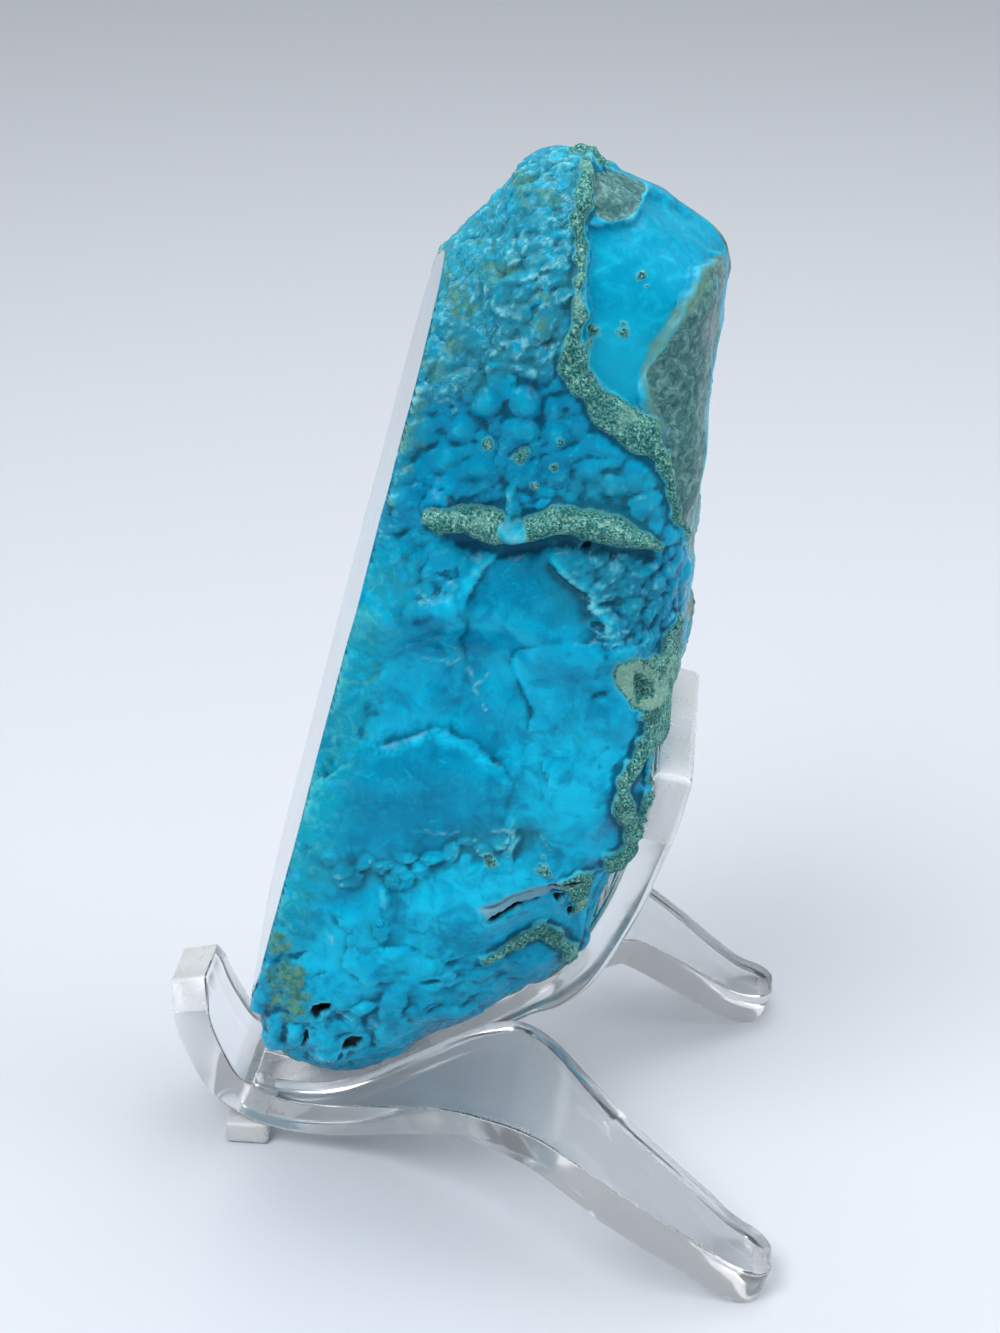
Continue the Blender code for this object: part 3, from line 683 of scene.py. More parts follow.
def carve(skin, strength):
    """The skin's relief and its colour fields."""
    points, front, wrapped = skin.points, skin.front, skin.wrapped
    plane = skin.patch(PLANE_PX)
    quartz = np.maximum(skin.patch(QUARTZ_TOP_PX), skin.patch(QUARTZ_RIGHT_PX, 9.0))
    bubbly = skin.patch(BUBBLY_PX, 20.0) * (1 - plane) * (1 - quartz)
    quartz = np.maximum(quartz, skin.band(QUARTZ_RIM_PX, 5.0))
    small = skin.patch(SMALL_BUMPS_PX, 26.0)
    ragged = np.clip(1 + 0.8 * cloud(points, 0.7, 67, 2), 0.5, 2.0)
    glint = most(skin.band([(x, y, GLINT_HALF_PX) for x, y in line], 3.5) for line in GLINTS_PX)

    height, lobes, shadow_line, highlight_rim = flow_forms(skin)
    crust_height, crust, pale, off_drip = crust_forms(skin, ragged)
    break_height, inner_shade, left = break_forms(skin)
    height += GLINT_HEIGHT * glint + crust_height + break_height + wrinkles(skin)
    height -= PLANE_DROP * plane + QUARTZ_DROP * quartz
    grainy = rough_ground(skin, bubbly, small) * (1 - 0.75 * ramp(3 * lobes))
    rolling = 0.2 * cloud(points, 7.0, 2, 3) + 0.14 * cloud(skin.warped, 3.2, 17, 2)
    rolling += 0.06 * cloud(points, 1.5, 13, 3)
    patchy = ramp(0.5 + 1.2 * cloud(points, 9.0, 71, 2))
    hidden = 0.75 * patchy * (0.6 * skin.coarse + 0.5 * skin.fine)
    hidden += 0.2 * ridges(skin.warped, 2.2, 59)
    height = front * height + wrapped * grainy + (1 - wrapped) * hidden + rolling
    skin.height = strength * (height - TOP_TRIM * ramp((points[:, 2] - TOP_TRIM_FROM) / 4))

    lobe = skin.patch(PALE_LOBE_PX, 12.0)
    crust = np.maximum(crust * left, lobe)
    milky = lobe * (0.95 + 0.5 * cloud(points, 1.4, 71, 2)) * (1 - skin.patch(LOBE_CORE_PX))
    olive = most(ramp(1.2 - skin.to_place(x, y) * ragged / radius) for x, y, radius in OLIVE_PX)
    fringe = skin.to_patch(MOSS_PX) - 26 * (skin.coarse - 0.5)
    moss = (0.45 + 0.6 * skin.fine) * ramp(0.5 - fringe / 30)
    strip = ramp(1.1 - skin.to_line(LEFT_EDGE_PX)[0] / LEFT_STRIP_PX)
    strip *= ramp((skin.below - LEFT_STRIP_FROM_PX) / 60)
    under_drip = 1 - off_drip
    marks = {
        "crust": crust, "quartz": quartz, "plain": plane, "inner_shade": inner_shade, "glint": glint,
        "pale": np.maximum(pale, milky) * off_drip,
        "olive": np.maximum(OLIVE_SHARE * olive, moss),
        "teal": np.maximum(strip, 0.4 * under_drip),
        "border": skin.band(BORDER_PX, 16.0),
        "lens": skin.patch(LENS_PX, 5.0),
    }
    # Deeper tone and painted shade, paler tone and painted highlight, and where glints are painted.
    tones = (
        ("deep", DEEP_TONE_AND_SHADE_PX, np.maximum(0.8 * under_drip, shadow_line)),
        ("light", PALE_TONE_AND_HIGHLIGHT_PX, highlight_rim),
        ("wet", GLINT_ZONES_PX, small),
    )
    for name, rows, _ in tones:
        marks[name] = most(amount * ramp(1.6 - away) for away, amount in skin.ovals(rows))
    sides = side_marks(skin)
    for name, mark in marks.items():
        skin.fields[name] = front * mark + (1 - front) * sides.get(name, 0.0)
    for name, _, besides in tones:
        skin.fields[name] = np.maximum(skin.fields[name], front * besides)


# ---- meshes

def placed(name, data):
    made = bpy.data.objects.new(name, data)
    bpy.context.scene.collection.objects.link(made)
    return made


def new_object(name, bm, materials=()):
    """An object with the bmesh's shape, which is freed."""
    mesh = bpy.data.meshes.new(name)
    bm.to_mesh(mesh)
    bm.free()
    made = placed(name, mesh)
    for finish in materials:
        mesh.materials.append(finish)
    return made


def baked(source):
    """A bmesh of the object as its modifiers leave it; the object itself is removed."""
    bpy.context.view_layer.update()
    graph = bpy.context.evaluated_depsgraph_get()
    mesh = bpy.data.meshes.new_from_object(source.evaluated_get(graph), depsgraph=graph)
    bpy.data.objects.remove(source)
    bm = bmesh.new()
    bm.from_mesh(mesh)
    return bm


def everything(bm):
    return bm.verts[:] + bm.edges[:] + bm.faces[:]


def cut_level(bm, point, normal):
    """Cuts off what lies past a plane and closes the cut; gives its edges and its faces."""
    bmesh.ops.bisect_plane(bm, geom=everything(bm), dist=CUT_MM * MM, plane_co=point,
                           plane_no=normal, clear_outer=True)
    rim = [edge for edge in bm.edges if edge.is_boundary]
    return rim, bmesh.ops.holes_fill(bm, edges=rim, sides=0)["faces"]


def polish_plane():
    normal = Vector((-1.0, POLISH_TURN, POLISH_LEAN)).normalized()
    return Vector((POLISH_AT_FLOOR * MM, 0, 0)), normal


def fine_stone(settings):
    """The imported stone, evenly meshed and worn, with spare skin past the polished plane."""
    bm = bmesh.new()
    bm.from_mesh(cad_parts["specimen"].data)
    bmesh.ops.remove_doubles(bm, verts=bm.verts, dist=MERGE_MM * MM)
    block = new_object("stone_even", bm)
    even = block.modifiers.new("even", "REMESH")
    even.mode = "VOXEL"
    even.voxel_size = settings.cell * MM
    bm = baked(block)
    point, normal = polish_plane()
    for vert in bm.verts:
        if (vert.co - point).dot(normal) > -0.25 * settings.cell * MM:
            low, high = POLISH_MIDLINE
            height = vert.co.z / MM
            outward = Vector((0.0, vert.co.y / MM, height - min(max(height, low), high)))
            vert.co += (normal * POLISH_SPARE - outward.normalized() * POLISH_TAPER) * MM
    for _ in range(settings.worn):
        bmesh.ops.smooth_vert(bm, verts=bm.verts, factor=0.5, use_axis_x=True,
                              use_axis_y=True, use_axis_z=True)
    bm.normal_update()
    forward, _, _ = view_axes()
    near = [face for face in bm.faces if face.normal.dot(forward) < FACING_VIEW]
    edges = list({edge for face in near for edge in face.edges})
    bmesh.ops.subdivide_edges(bm, edges=edges, cuts=1, use_grid_fill=True)
    bm.normal_update()
    return bm


def smoothed(pairs, values, passes):
    """The values after each has been moved halfway to the mean of its neighbours."""
    count = np.bincount(pairs.ravel(), minlength=len(values))
    for _ in range(passes):
        total = np.bincount(pairs[:, 0], values[pairs[:, 1]], len(values))
        total += np.bincount(pairs[:, 1], values[pairs[:, 0]], len(values))
        values = 0.5 * values + 0.5 * total / np.maximum(count, 1)
    return values


def build_stone(settings):
    bm = fine_stone(settings)
    bm.verts.ensure_lookup_table()
    bm.verts.index_update()
    points = np.array([vert.co for vert in bm.verts]) / MM
    normals = np.array([vert.normal for vert in bm.verts])
    skin = Skin(points, normals)
    carve(skin, settings.relief)
    pairs = np.array([(edge.verts[0].index, edge.verts[1].index) for edge in bm.edges])
    point, normal = polish_plane()
    inward = (points - np.array(point) / MM) @ -np.array(normal)
    skin.height = np.where(inward < RIM_MM, np.minimum(skin.height, 0.0), skin.height)
    # How sunken or raised each point is, for the painted shade in hollows and the painted glints on
    # crests.
    nearby = smoothed(pairs, skin.height, 4)
    around = smoothed(pairs, nearby, 26)
    skin.fields["hollow"] = np.clip(0.5 + (around - skin.height) / HOLLOW_MM, 0, 1)
    skin.fields["crest"] = np.clip((skin.height - nearby - CREST_FROM_MM) / CREST_MM, 0, 1)
    for vert, place in zip(bm.verts, points + normals * skin.height[:, None]):
        vert.co = Vector(place) * MM
    layers = {name: bm.verts.layers.float.new(name) for name in skin.fields}
    for name, layer in layers.items():
        for vert, value in zip(bm.verts, skin.fields[name]):
            vert[layer] = float(value)
    rim, caps = cut_level(bm, point, normal)
    for face in bm.faces:
        face.smooth = True
    for face in caps:
        face.material_index = 1
        face.smooth = False
    for edge in rim:
        edge.smooth = False
    bmesh.ops.triangulate(bm, faces=caps)
    stone = new_object("chrysocolla_stone", bm, [natural_skin(), polished_face()])
    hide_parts("specimen")
    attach(stone, BODY)
    return stone


def cradle_rows(between):
    """The cradle's rows, with legs that end in rounded tips."""
    rows = smooth_rows(CRADLE_LINE, between)
    tail = rows[-1]
    rows = [row for row in rows if row[0] < tail[0] - FOOT_ROUND]
    last = rows[-1]
    for share in TIP_SHARES:
        to_end = FOOT_ROUND * share
        root = to_end / (tail[0] - last[0])
        inner = tail[2] + (last[2] - tail[2]) * root
        outer = tail[3] + (last[3] - tail[3]) * root
        inset = FOOT_ROUND - math.sqrt(FOOT_ROUND ** 2 - (FOOT_ROUND - to_end) ** 2)
        inset = min(inset, FOOT_ROUND * TIP_INSET)
        rows.append((tail[0] - to_end, tail[1] + to_end * TIP_SLOPE, inner + inset, outer - inset))
    return rows


def bend_grid(rows, columns, place):
    """A grid with a row of points for each row of the line, bent into place, worn at its edge."""
    bm = bmesh.new()
    worn = bm.verts.layers.float.new("worn")
    bmesh.ops.create_grid(bm, x_segments=len(rows) - 1, y_segments=columns - 1, size=0.5)
    for vert in bm.verts:
        row = round((vert.co.x + 0.5) * (len(rows) - 1))
        column = round((vert.co.y + 0.5) * (columns - 1))
        vert.co = Vector(place(row, column)) * MM
        vert[worn] = float(column == columns - 1)
    return bm


def bent_sheet(name, node, bm, offset, settings, frosted_above, frosted_below):
    """One sheet of the easel from its bent grid, with rounded edges and frosted ends."""
    bmesh.ops.recalc_face_normals(bm, faces=bm.faces)
    if sum(face.normal.z for face in bm.faces) < 0:
        bmesh.ops.reverse_faces(bm, faces=bm.faces)
    finishes = [clear_sheet(settings), sheet_edge(settings), frosted_end()]
    raw = new_object(name + "_raw", bm, finishes)
    thick = raw.modifiers.new("sheet", "SOLIDIFY")
    thick.thickness = SHEET_MM * MM
    thick.offset = offset
    thick.use_even_offset = True
    thick.material_offset_rim = 1
    rounded = raw.modifiers.new("edges", "BEVEL")
    rounded.width = settings.edge_round * MM
    rounded.segments = ROUND_STEPS
    rounded.limit_method = "ANGLE"
    rounded.angle_limit = math.radians(ROUNDED_OVER_DEG)
    bm = baked(raw)
    cut_level(bm, (0, 0, 0), (0, 0, -1))
    for face in bm.faces:
        face.smooth = True
        height = face.calc_center_median().z / MM
        if height < frosted_below or (face.material_index == 1 and height > frosted_above):
            face.material_index = 2
    made = new_object(name, bm, finishes)
    made.data.set_sharp_from_angle(angle=math.radians(SHARP_OVER_DEG))
    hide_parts(node)
    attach(made, BODY)
    return made


def build_cradle(settings):
    rows = cradle_rows(settings.rows)
    slotted_from = SLOT_FRONT * settings.rows
    columns = 6

    def place(row, column):
        x, z, inner, outer = rows[row]
        if row < slotted_from:
            inner = outer * 0.5
        if column == 0:
            return (x, 0.0, z)
        return (x, inner + (outer - inner) * (column - 1) / (columns - 2), z)

    bm = bend_grid(rows, columns, place)
    slot_x = rows[slotted_from][0] * MM
    gone = []
    for face in bm.faces:
        at_middle = min(vert.co.y for vert in face.verts) < CUT_MM * MM
        if at_middle and face.calc_center_median().x > slot_x:
            gone.append(face)
    bmesh.ops.delete(bm, geom=gone, context="FACES")
    bmesh.ops.mirror(bm, geom=everything(bm), axis="Y", merge_dist=SEAM_MM * MM)
    bmesh.ops.remove_doubles(bm, verts=bm.verts, dist=SEAM_MM * MM)
    return bent_sheet("clear_cradle", "easel_cradle", bm, -1.0, settings, HOOK_FROSTED_ABOVE, 0.0)


def build_backrest(settings):
    rows = smooth_rows(BACKREST_LINE, settings.rows)
    columns = 5

    def place(row, column):
        x, z, half = rows[row]
        return (x, BACKREST_SIDEWAYS + half * (2 * column / (columns - 1) - 1), z)

    bm = bend_grid(rows, columns, place)
    strip = bent_sheet("clear_backrest", "easel_backrest", bm, 1.0, settings, TOP_FROSTED_ABOVE,
                       NECK_FROSTED_BELOW)
    foot = FRONT_FOOT
    size = (foot["length"] * MM, 2 * foot["half_width"] * MM, foot["height"] * MM)
    middle = (foot["x"] * MM, BACKREST_SIDEWAYS * MM, foot["height"] / 2 * MM)
    bm = bmesh.new()
    bmesh.ops.create_cube(bm, size=1.0)
    bmesh.ops.scale(bm, verts=bm.verts, vec=size)
    bmesh.ops.translate(bm, verts=bm.verts, vec=middle)
    bmesh.ops.bevel(bm, geom=bm.edges[:], offset=foot["round"] * MM, affect="EDGES",
                    segments=ROUND_STEPS, profile=0.5, material=-1)
    for face in bm.faces:
        face.smooth = True
    bar = new_object("clear_foot", bm, [frosted_end()])
    bar.data.set_sharp_from_angle(angle=math.radians(SHARP_OVER_DEG))
    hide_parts("easel_backrest")
    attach(bar, BODY)
    return strip


# ---- finishes

def rgb(red, green, blue):
    """A linear colour from the everyday 0 to 255 one."""
    def linear(value):
        value /= 255
        return value / 12.92 if value <= 0.04045 else ((value + 0.055) / 1.055) ** 2.4
    return (linear(red), linear(green), linear(blue), 1.0)


class Nodes:
    """Short words for building a material's node tree."""

    def __init__(self, name):
        self.material = bpy.data.materials.new(name)
        self.material.use_nodes = True
        self.tree = self.material.node_tree
        self.shader = self.tree.nodes["Principled BSDF"]
        place = self.add("ShaderNodeTexCoord").outputs["Object"]
        in_mm = self.add("ShaderNodeMapping", {"Scale": (1 / MM, 1 / MM, 1 / MM), "Vector": place})
        self.place = in_mm.outputs["Vector"]

    def add(self, kind, inputs=(), **settings):
        node = self.tree.nodes.new(kind)
        for key, value in settings.items():
            setattr(node, key, value)
        self.put(node, dict(inputs))
        return node

    def put(self, node, inputs):
        """Links each input to the socket given, or sets its value."""
        for key, value in inputs.items():
            if isinstance(value, bpy.types.NodeSocket):
                self.tree.links.new(value, node.inputs[key])
            else:
                node.inputs[key].default_value = value

    def set(self, **inputs):
        self.put(self.shader, {key.replace("_", " "): value for key, value in inputs.items()})

    def noise(self, size, detail=4.0, rough=0.55, warp=0.0):
        return self.add("ShaderNodeTexNoise", {
            "Vector": self.place, "Scale": 1 / size, "Detail": detail, "Roughness": rough,
            "Distortion": warp}).outputs["Fac"]

    def cells(self, size):
        return self.add("ShaderNodeTexVoronoi", {
            "Vector": self.place, "Scale": 1 / size}).outputs["Distance"]

    def field(self, name):
        return self.add("ShaderNodeAttribute", attribute_name=name).outputs["Fac"]

    def math(self, operation, a, b=0.0):
        return self.add("ShaderNodeMath", {0: a, 1: b}, operation=operation).outputs[0]

    def times(self, a, b):
        return self.math("MULTIPLY", a, b)

    def plus(self, a, b):
        return self.math("ADD", a, b)

    def span(self, value, low, high, out_low=0.0, out_high=1.0):
        return self.add("ShaderNodeMapRange", {
            "Value": value, "From Min": low, "From Max": high, "To Min": out_low,
            "To Max": out_high}, interpolation_type="SMOOTHSTEP").outputs["Result"]

    def thread(self, noise, wide, narrow, *out):
        """Thin lines where the noise passes its middle."""
        return self.span(self.math("ABSOLUTE", self.plus(noise, -0.5)), wide, narrow, *out)

    def lay(self, under, over, share, amount=1.0):
        """The second colour laid over the first by the amount of its share."""
        if amount != 1.0:
            share = self.times(share, amount)
        inputs = {"Factor": share, "A": under, "B": over}
        return self.add("ShaderNodeMix", inputs, data_type="RGBA").outputs["Result"]

    def ramp(self, value, *stops):
        """A colour for each value, from stops of place, red, green and blue."""
        node = self.add("ShaderNodeValToRGB", {"Fac": value})
        for _ in stops[2:]:
            node.color_ramp.elements.new(0.5)
        for element, (place, *colour) in zip(node.color_ramp.elements, stops):
            element.position = place
            element.color = rgb(*colour)
        return node.outputs["Color"]

    def bump(self, height, distance_mm, strength, **under):
        return self.add("ShaderNodeBump", {
            "Strength": strength, "Distance": distance_mm * MM, "Height": height, **under,
        }).outputs["Normal"]


def natural_skin():
    n = Nodes("natural_skin")
    streak = n.noise(0.9, 6, 0.65, 0.8)
    blue = n.ramp(n.noise(4.0, 5, 0.6, 0.4), (0.30, 0, 122, 162), (0.45, 0, 148, 190),
                  (0.58, 0, 168, 210), (0.76, 10, 186, 222))
    # Deeper tone where the deep field is, partly painted shade and shadow lines.
    blue = n.lay(blue, rgb(0, 124, 162), n.field("deep"))
    # Paler tone where the light field is, partly painted highlight and highlight rims.
    glow = n.times(n.field("light"), n.span(n.noise(2.4, 5, 0.65, 0.8), 0.34, 0.6))
    blue = n.lay(blue, rgb(16, 196, 232), glow)
    wisp = n.span(n.noise(1.1, 7, 0.7, 1.4), 0.52, 0.7)
    blue = n.lay(blue, rgb(14, 194, 226), wisp, 0.45)
    mottle = n.span(n.noise(2.6, 5, 0.62, 0.8), 0.5, 0.34)
    blue = n.lay(blue, rgb(0, 108, 148), mottle, 0.6)
    # Painted highlight on raised skin and painted shade in hollows.
    blue = n.lay(blue, rgb(16, 194, 222), n.span(n.field("hollow"), 0.45, 0.05), 0.3)
    blue = n.lay(blue, rgb(0, 66, 94), n.span(n.field("hollow"), 0.52, 0.82), 0.85)
    teal = n.times(n.field("teal"), n.span(streak, 0.35, 0.6))
    blue = n.lay(blue, rgb(8, 150, 164), teal, 0.75)
    milk = n.times(n.field("teal"), n.span(n.noise(1.9, 6, 0.66, 1.6), 0.46, 0.72))
    blue = n.lay(blue, rgb(84, 194, 196), milk, 0.6)
    sheen = n.span(n.noise(1.4, 7, 0.65, 1.2), 0.42, 0.72)
    plain = n.lay(rgb(0, 142, 178), rgb(12, 166, 198), sheen)
    # Paler tone and painted highlight on the smooth plane.
    plain = n.lay(plain, rgb(16, 194, 228), n.field("light"), 0.6)
    blue = n.lay(blue, plain, n.field("plain"))
    # A greyer tone where the wet field is; painted glints follow there.
    wet = n.times(n.field("wet"), n.span(streak, 0.3, 0.56))
    blue = n.lay(blue, rgb(40, 124, 138), wet, 0.75)
    # Painted glints on crests where the wet field is.
    crest_glint = n.times(n.field("crest"), n.span(n.noise(1.6, 4, 0.6), 0.4, 0.6))
    crest_glint = n.times(crest_glint, n.span(n.field("wet"), 0.0, 1.0, 0.25, 0.65))
    blue = n.lay(blue, rgb(150, 222, 224), crest_glint)
    glint = n.thread(n.noise(1.0, 5, 0.6, 0.8), 0.02, 0.004)
    glint = n.times(glint, n.span(n.noise(2.0, 3), 0.46, 0.6))
    glint = n.times(glint, n.span(n.field("wet"), 0.7, 1.0, 0.0, 0.35))
    blue = n.lay(blue, rgb(150, 212, 216), glint)
    # Painted glints along the short ridges.
    ridge_glint = n.times(n.field("glint"), n.span(n.noise(0.7, 4, 0.7, 0.6), 0.4, 0.6))
    blue = n.lay(blue, rgb(150, 216, 222), ridge_glint, 0.7)
    stain = n.plus(n.field("olive"), n.times(n.noise(0.9, 6, 0.72, 0.6), 0.9))
    tufts = n.span(n.noise(0.5, 5, 0.7), 0.4, 0.6)
    moss = n.lay(rgb(46, 112, 96), rgb(104, 142, 96), tufts)
    blue = n.lay(blue, moss, n.span(stain, 0.95, 1.4), 0.85)

    grain = n.ramp(n.noise(0.22, 4, 0.72, 0.4), (0.37, 10, 64, 66), (0.46, 42, 116, 114),
                   (0.54, 84, 156, 148), (0.64, 166, 212, 196))
    shade = n.noise(1.7, 5, 0.65, 0.6)
    grain = n.lay(grain, rgb(30, 92, 92), n.span(shade, 0.5, 0.34, 0.0, 0.6))
    grain = n.lay(grain, rgb(142, 196, 180), n.span(shade, 0.52, 0.68, 0.0, 0.5))
    share = n.plus(n.field("crust"), n.times(n.noise(0.55, 5, 0.75), 0.6))
    rim = n.times(n.span(share, 0.42, 0.6), n.span(share, 0.95, 0.75))
    blue = n.lay(blue, rgb(110, 196, 176), rim, 0.3)
    crust = n.span(share, 0.62, 0.98)
    colour = n.lay(blue, grain, crust)
    glass = n.ramp(n.noise(0.8, 7, 0.72, 0.8), (0.32, 24, 68, 74), (0.5, 66, 114, 116),
                   (0.68, 124, 166, 158))
    quartz = n.plus(n.field("quartz"), n.times(n.noise(0.9, 4), 0.4))
    colour = n.lay(colour, glass, n.span(quartz, 0.60, 0.78))
    border = n.times(n.field("border"), n.noise(1.2, 5, 0.7))
    olive = n.lay(rgb(70, 124, 112), rgb(118, 150, 122), n.noise(0.8, 5, 0.7))
    colour = n.lay(colour, olive, n.span(border, 0.15, 0.55, 0.0, 0.8))
    pale = n.plus(n.field("pale"), n.noise(0.4, 4, 0.65))
    light = n.lay(rgb(104, 170, 150), rgb(190, 224, 200), n.noise(0.7, 5, 0.7))
    colour = n.lay(colour, light, n.span(pale, 1.2, 1.5), 0.6)
    colour = n.lay(colour, rgb(120, 166, 182), n.field("lens"), 0.85)
    # Painted shade inside the slot, the crack, the deep holes and the lobe's core.
    colour = n.lay(colour, rgb(4, 14, 20), n.span(n.field("inner_shade"), 0.35, 0.75))

    rough = n.lay(n.span(streak, 0.3, 0.7, 0.18, 0.36), CRUST_ROUGHNESS, crust)
    small = n.bump(n.noise(0.35, 5, 0.6, 0.3), 0.05, 0.5)
    coarse = n.bump(n.times(n.noise(0.16, 3, 0.6), crust), 0.18, 1.0, Normal=small)
    n.set(Base_Color=colour, Roughness=rough, Normal=coarse, IOR=1.45, Specular_IOR_Level=0.08)
    n.set(Coat_Weight=0.07, Coat_Roughness=0.06, Subsurface_Weight=0.06)
    n.set(Subsurface_Radius=(0.3, 0.9, 1.0), Subsurface_Scale=SUBSURFACE_MM * MM)
    return n.material


def polished_face():
    n = Nodes("polished_face")
    colour = n.ramp(n.noise(8.0, 6, 0.62, 0.3), (0.34, 2, 78, 106), (0.46, 0, 124, 160),
                    (0.55, 4, 154, 194), (0.70, 64, 184, 200))
    growth = n.cells(6.5)
    wavy = n.times(n.noise(3.0, 6, 0.66), 16.0)
    band = n.math("SINE", n.plus(n.times(growth, 24.0), wavy))
    colour = n.lay(colour, rgb(90, 196, 206), n.span(band, 0.0, 1.0, 0.0, 0.2))
    colour = n.lay(colour, rgb(0, 92, 120), n.span(growth, 0.45, 0.85, 0.0, 0.55))
    ground = n.span(n.noise(9.0, 8, 0.68, 0.4), 0.58, 0.61, 0.0, 0.9)
    earth = n.lay(rgb(20, 62, 60), rgb(120, 160, 130), n.noise(0.5, 5, 0.7))
    colour = n.lay(colour, earth, ground)
    thread = n.thread(n.noise(6.0, 7, 0.6, 0.6), 0.012, 0.003, 0.0, 0.8)
    colour = n.lay(colour, rgb(24, 74, 66), thread)
    n.set(Base_Color=colour, IOR=1.54, Coat_Weight=0.6, Coat_Roughness=0.03)
    n.set(Roughness=n.span(n.noise(1.5, 5, 0.7), 0.35, 0.7, 0.05, 0.14))
    return n.material


def clear_sheet(settings):
    n = Nodes("clear_sheet")
    scuff = n.span(n.noise(0.5, 8, 0.75, 2.5), 0.62, 0.75, 0.015, 0.16)
    scratch = n.span(n.noise(0.3, 6, 0.7, 3.0), 0.46, 0.6)
    scratch = n.times(scratch, n.span(n.field("worn"), 0.45, 1.0, 0.0, 0.4))
    n.set(Base_Color=(*settings.tint, 1.0), Roughness=n.math("MAXIMUM", scuff, scratch))
    n.set(IOR=ACRYLIC_IOR, Transmission_Weight=1.0)
    return n.material


def sheet_edge(settings):
    n = Nodes("sheet_edge")
    n.set(Base_Color=(*settings.tint, 1.0), IOR=ACRYLIC_IOR, Transmission_Weight=0.86)
    n.set(Roughness=n.span(n.noise(2.4, 3, 0.5, 1.0), 0.35, 0.7, 0.08, 0.2))
    return n.material


def frosted_end():
    n = Nodes("frosted_end")
    white = n.lay((0.9, 0.92, 0.94, 1.0), (1.0, 1.0, 1.0, 1.0), n.noise(3.0, 3, 0.5))
    n.set(Base_Color=white, IOR=ACRYLIC_IOR, Transmission_Weight=0.5)
    n.set(Roughness=n.span(n.noise(2.2, 3, 0.5), 0.3, 0.7, 0.24, 0.34))
    return n.material


def floor_finish(settings):
    n = Nodes("pale_floor")
    n.set(Base_Color=(*settings.floor_colour, 1.0), Roughness=0.75)
    return n.material


# ---- the stage

def area_light(name, place_mm, aim_mm, size_mm, power):
    data = bpy.data.lights.new(name, "AREA")
    data.shape = "RECTANGLE"
    data.size, data.size_y = (side * MM for side in size_mm)
    data.energy = power
    lamp = placed(name, data)
    lamp.location = Vector(place_mm) * MM
    towards = (Vector(aim_mm) - Vector(place_mm)).normalized()
    lamp.rotation_euler = towards.to_track_quat("-Z", "Y").to_euler()


def build_stage(settings):
    data = bpy.data.cameras.new("camera")
    data.sensor_fit = "VERTICAL"
    data.lens = FOCAL_PX / VIEW_SIZE_PX[1] * data.sensor_height
    data.clip_start = NEAREST_M
    data.clip_end = FARTHEST_M
    camera = placed("camera", data)
    camera.location = Vector(CAMERA_MM) * MM
    camera.rotation_euler = (
        math.radians(90 - CAMERA_TILT_DEG), 0.0, math.radians(CAMERA_TURN_DEG))
    bpy.context.scene.camera = camera

    bm = bmesh.new()
    bmesh.ops.create_grid(bm, x_segments=1, y_segments=1, size=FLOOR_HALF_M)
    bmesh.ops.translate(bm, verts=bm.verts, vec=(0, 0, -FLOOR_GAP_MM * MM))
    floor = new_object("floor", bm, [floor_finish(settings)])

    world = bpy.data.worlds.new("studio")
    world.use_nodes = True
    sky = world.node_tree.nodes["Background"]
    sky.inputs["Color"].default_value = SKY_COLOUR
    sky.inputs["Strength"].default_value = settings.fill
    bpy.context.scene.world = world
    bpy.context.scene.view_settings.view_transform = "Standard"
    for name, place, aim, size, share in LAMPS:
        area_light(name, place, aim, size, settings.key * share)


# ---- the add-on

class StoneSettings(bpy.types.PropertyGroup):
    cell: FloatProperty(
        name="Cell", description="Mesh cell of the stone in mm", default=0.44, min=0.2)
    worn: IntProperty(
        name="Worn", description="Smoothing passes before the relief", default=10)
    relief: FloatProperty(
        name="Relief", description="Strength of the surface relief", default=1.0)


class EaselSettings(bpy.types.PropertyGroup):
    rows: IntProperty(
        name="Rows", description="Rows between two stations of a bend", default=6)
    edge_round: FloatProperty(
        name="Edge", description="Radius of the sheet's edges in mm", default=0.7)
    tint: FloatVectorProperty(
        name="Tint", description="Colour of the clear sheet", subtype="COLOR",
        default=(0.96, 0.98, 0.985), min=0.0, max=1.0)


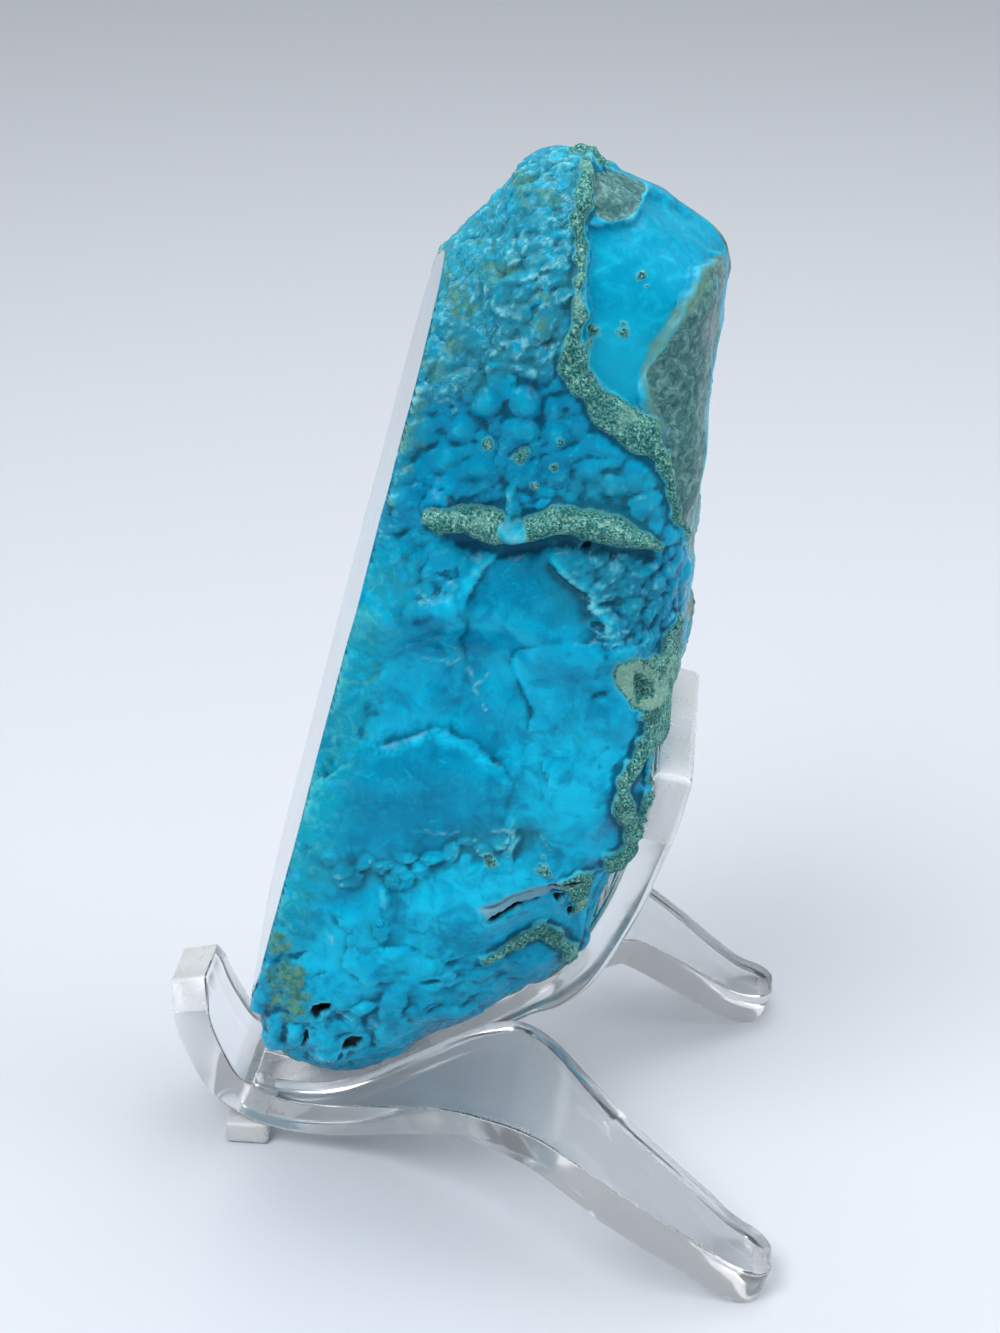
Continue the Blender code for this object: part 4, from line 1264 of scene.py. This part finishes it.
class StageSettings(bpy.types.PropertyGroup):
    floor_colour: FloatVectorProperty(
        name="Floor", description="Colour of the floor", subtype="COLOR",
        default=(0.56, 0.59, 0.64), min=0.0, max=1.0)
    fill: FloatProperty(name="Fill", description="Strength of the light all round", default=0.34)
    key: FloatProperty(name="Key", description="Power of the main light in W", default=1.7)


class SPECIMEN_OT_stone(bpy.types.Operator):
    """Build the stone with its natural skin and its polished face"""

    bl_idname = "specimen.stone"
    bl_label = "Build the stone"

    def execute(self, context):
        build_stone(context.scene.specimen_stone)
        return {"FINISHED"}


class SPECIMEN_OT_easel(bpy.types.Operator):
    """Build both bent pieces of the clear easel"""

    bl_idname = "specimen.easel"
    bl_label = "Build the easel"

    def execute(self, context):
        build_cradle(context.scene.specimen_easel)
        build_backrest(context.scene.specimen_easel)
        return {"FINISHED"}


class SPECIMEN_OT_stage(bpy.types.Operator):
    """Set up the floor, the lights and the camera"""

    bl_idname = "specimen.stage"
    bl_label = "Set up the stage"

    def execute(self, context):
        build_stage(context.scene.specimen_stage)
        return {"FINISHED"}


class SPECIMEN_PT_panel(bpy.types.Panel):
    bl_idname = "SPECIMEN_PT_panel"
    bl_label = "Specimen"
    bl_space_type = "VIEW_3D"
    bl_region_type = "UI"
    bl_category = "Specimen"

    def draw(self, context):
        for name in GROUPS:
            group = getattr(context.scene, name)
            box = self.layout.box()
            for key in group.bl_rna.properties.keys():
                if key not in ("rna_type", "name"):
                    box.prop(group, key)
            box.operator(name.replace("_", "."))


GROUPS = {
    "specimen_stone": StoneSettings,
    "specimen_easel": EaselSettings,
    "specimen_stage": StageSettings,
}
CLASSES = (
    *GROUPS.values(), SPECIMEN_OT_stone, SPECIMEN_OT_easel, SPECIMEN_OT_stage, SPECIMEN_PT_panel,
)


def register():
    for one in CLASSES:
        bpy.utils.register_class(one)
    for name, group in GROUPS.items():
        setattr(bpy.types.Scene, name, PointerProperty(type=group))


def unregister():
    for name in GROUPS:
        delattr(bpy.types.Scene, name)
    for one in reversed(CLASSES):
        bpy.utils.unregister_class(one)


def main():
    register()
    bpy.ops.specimen.stone()
    bpy.ops.specimen.easel()
    bpy.ops.specimen.stage()


if __name__ == "__main__":
    main()
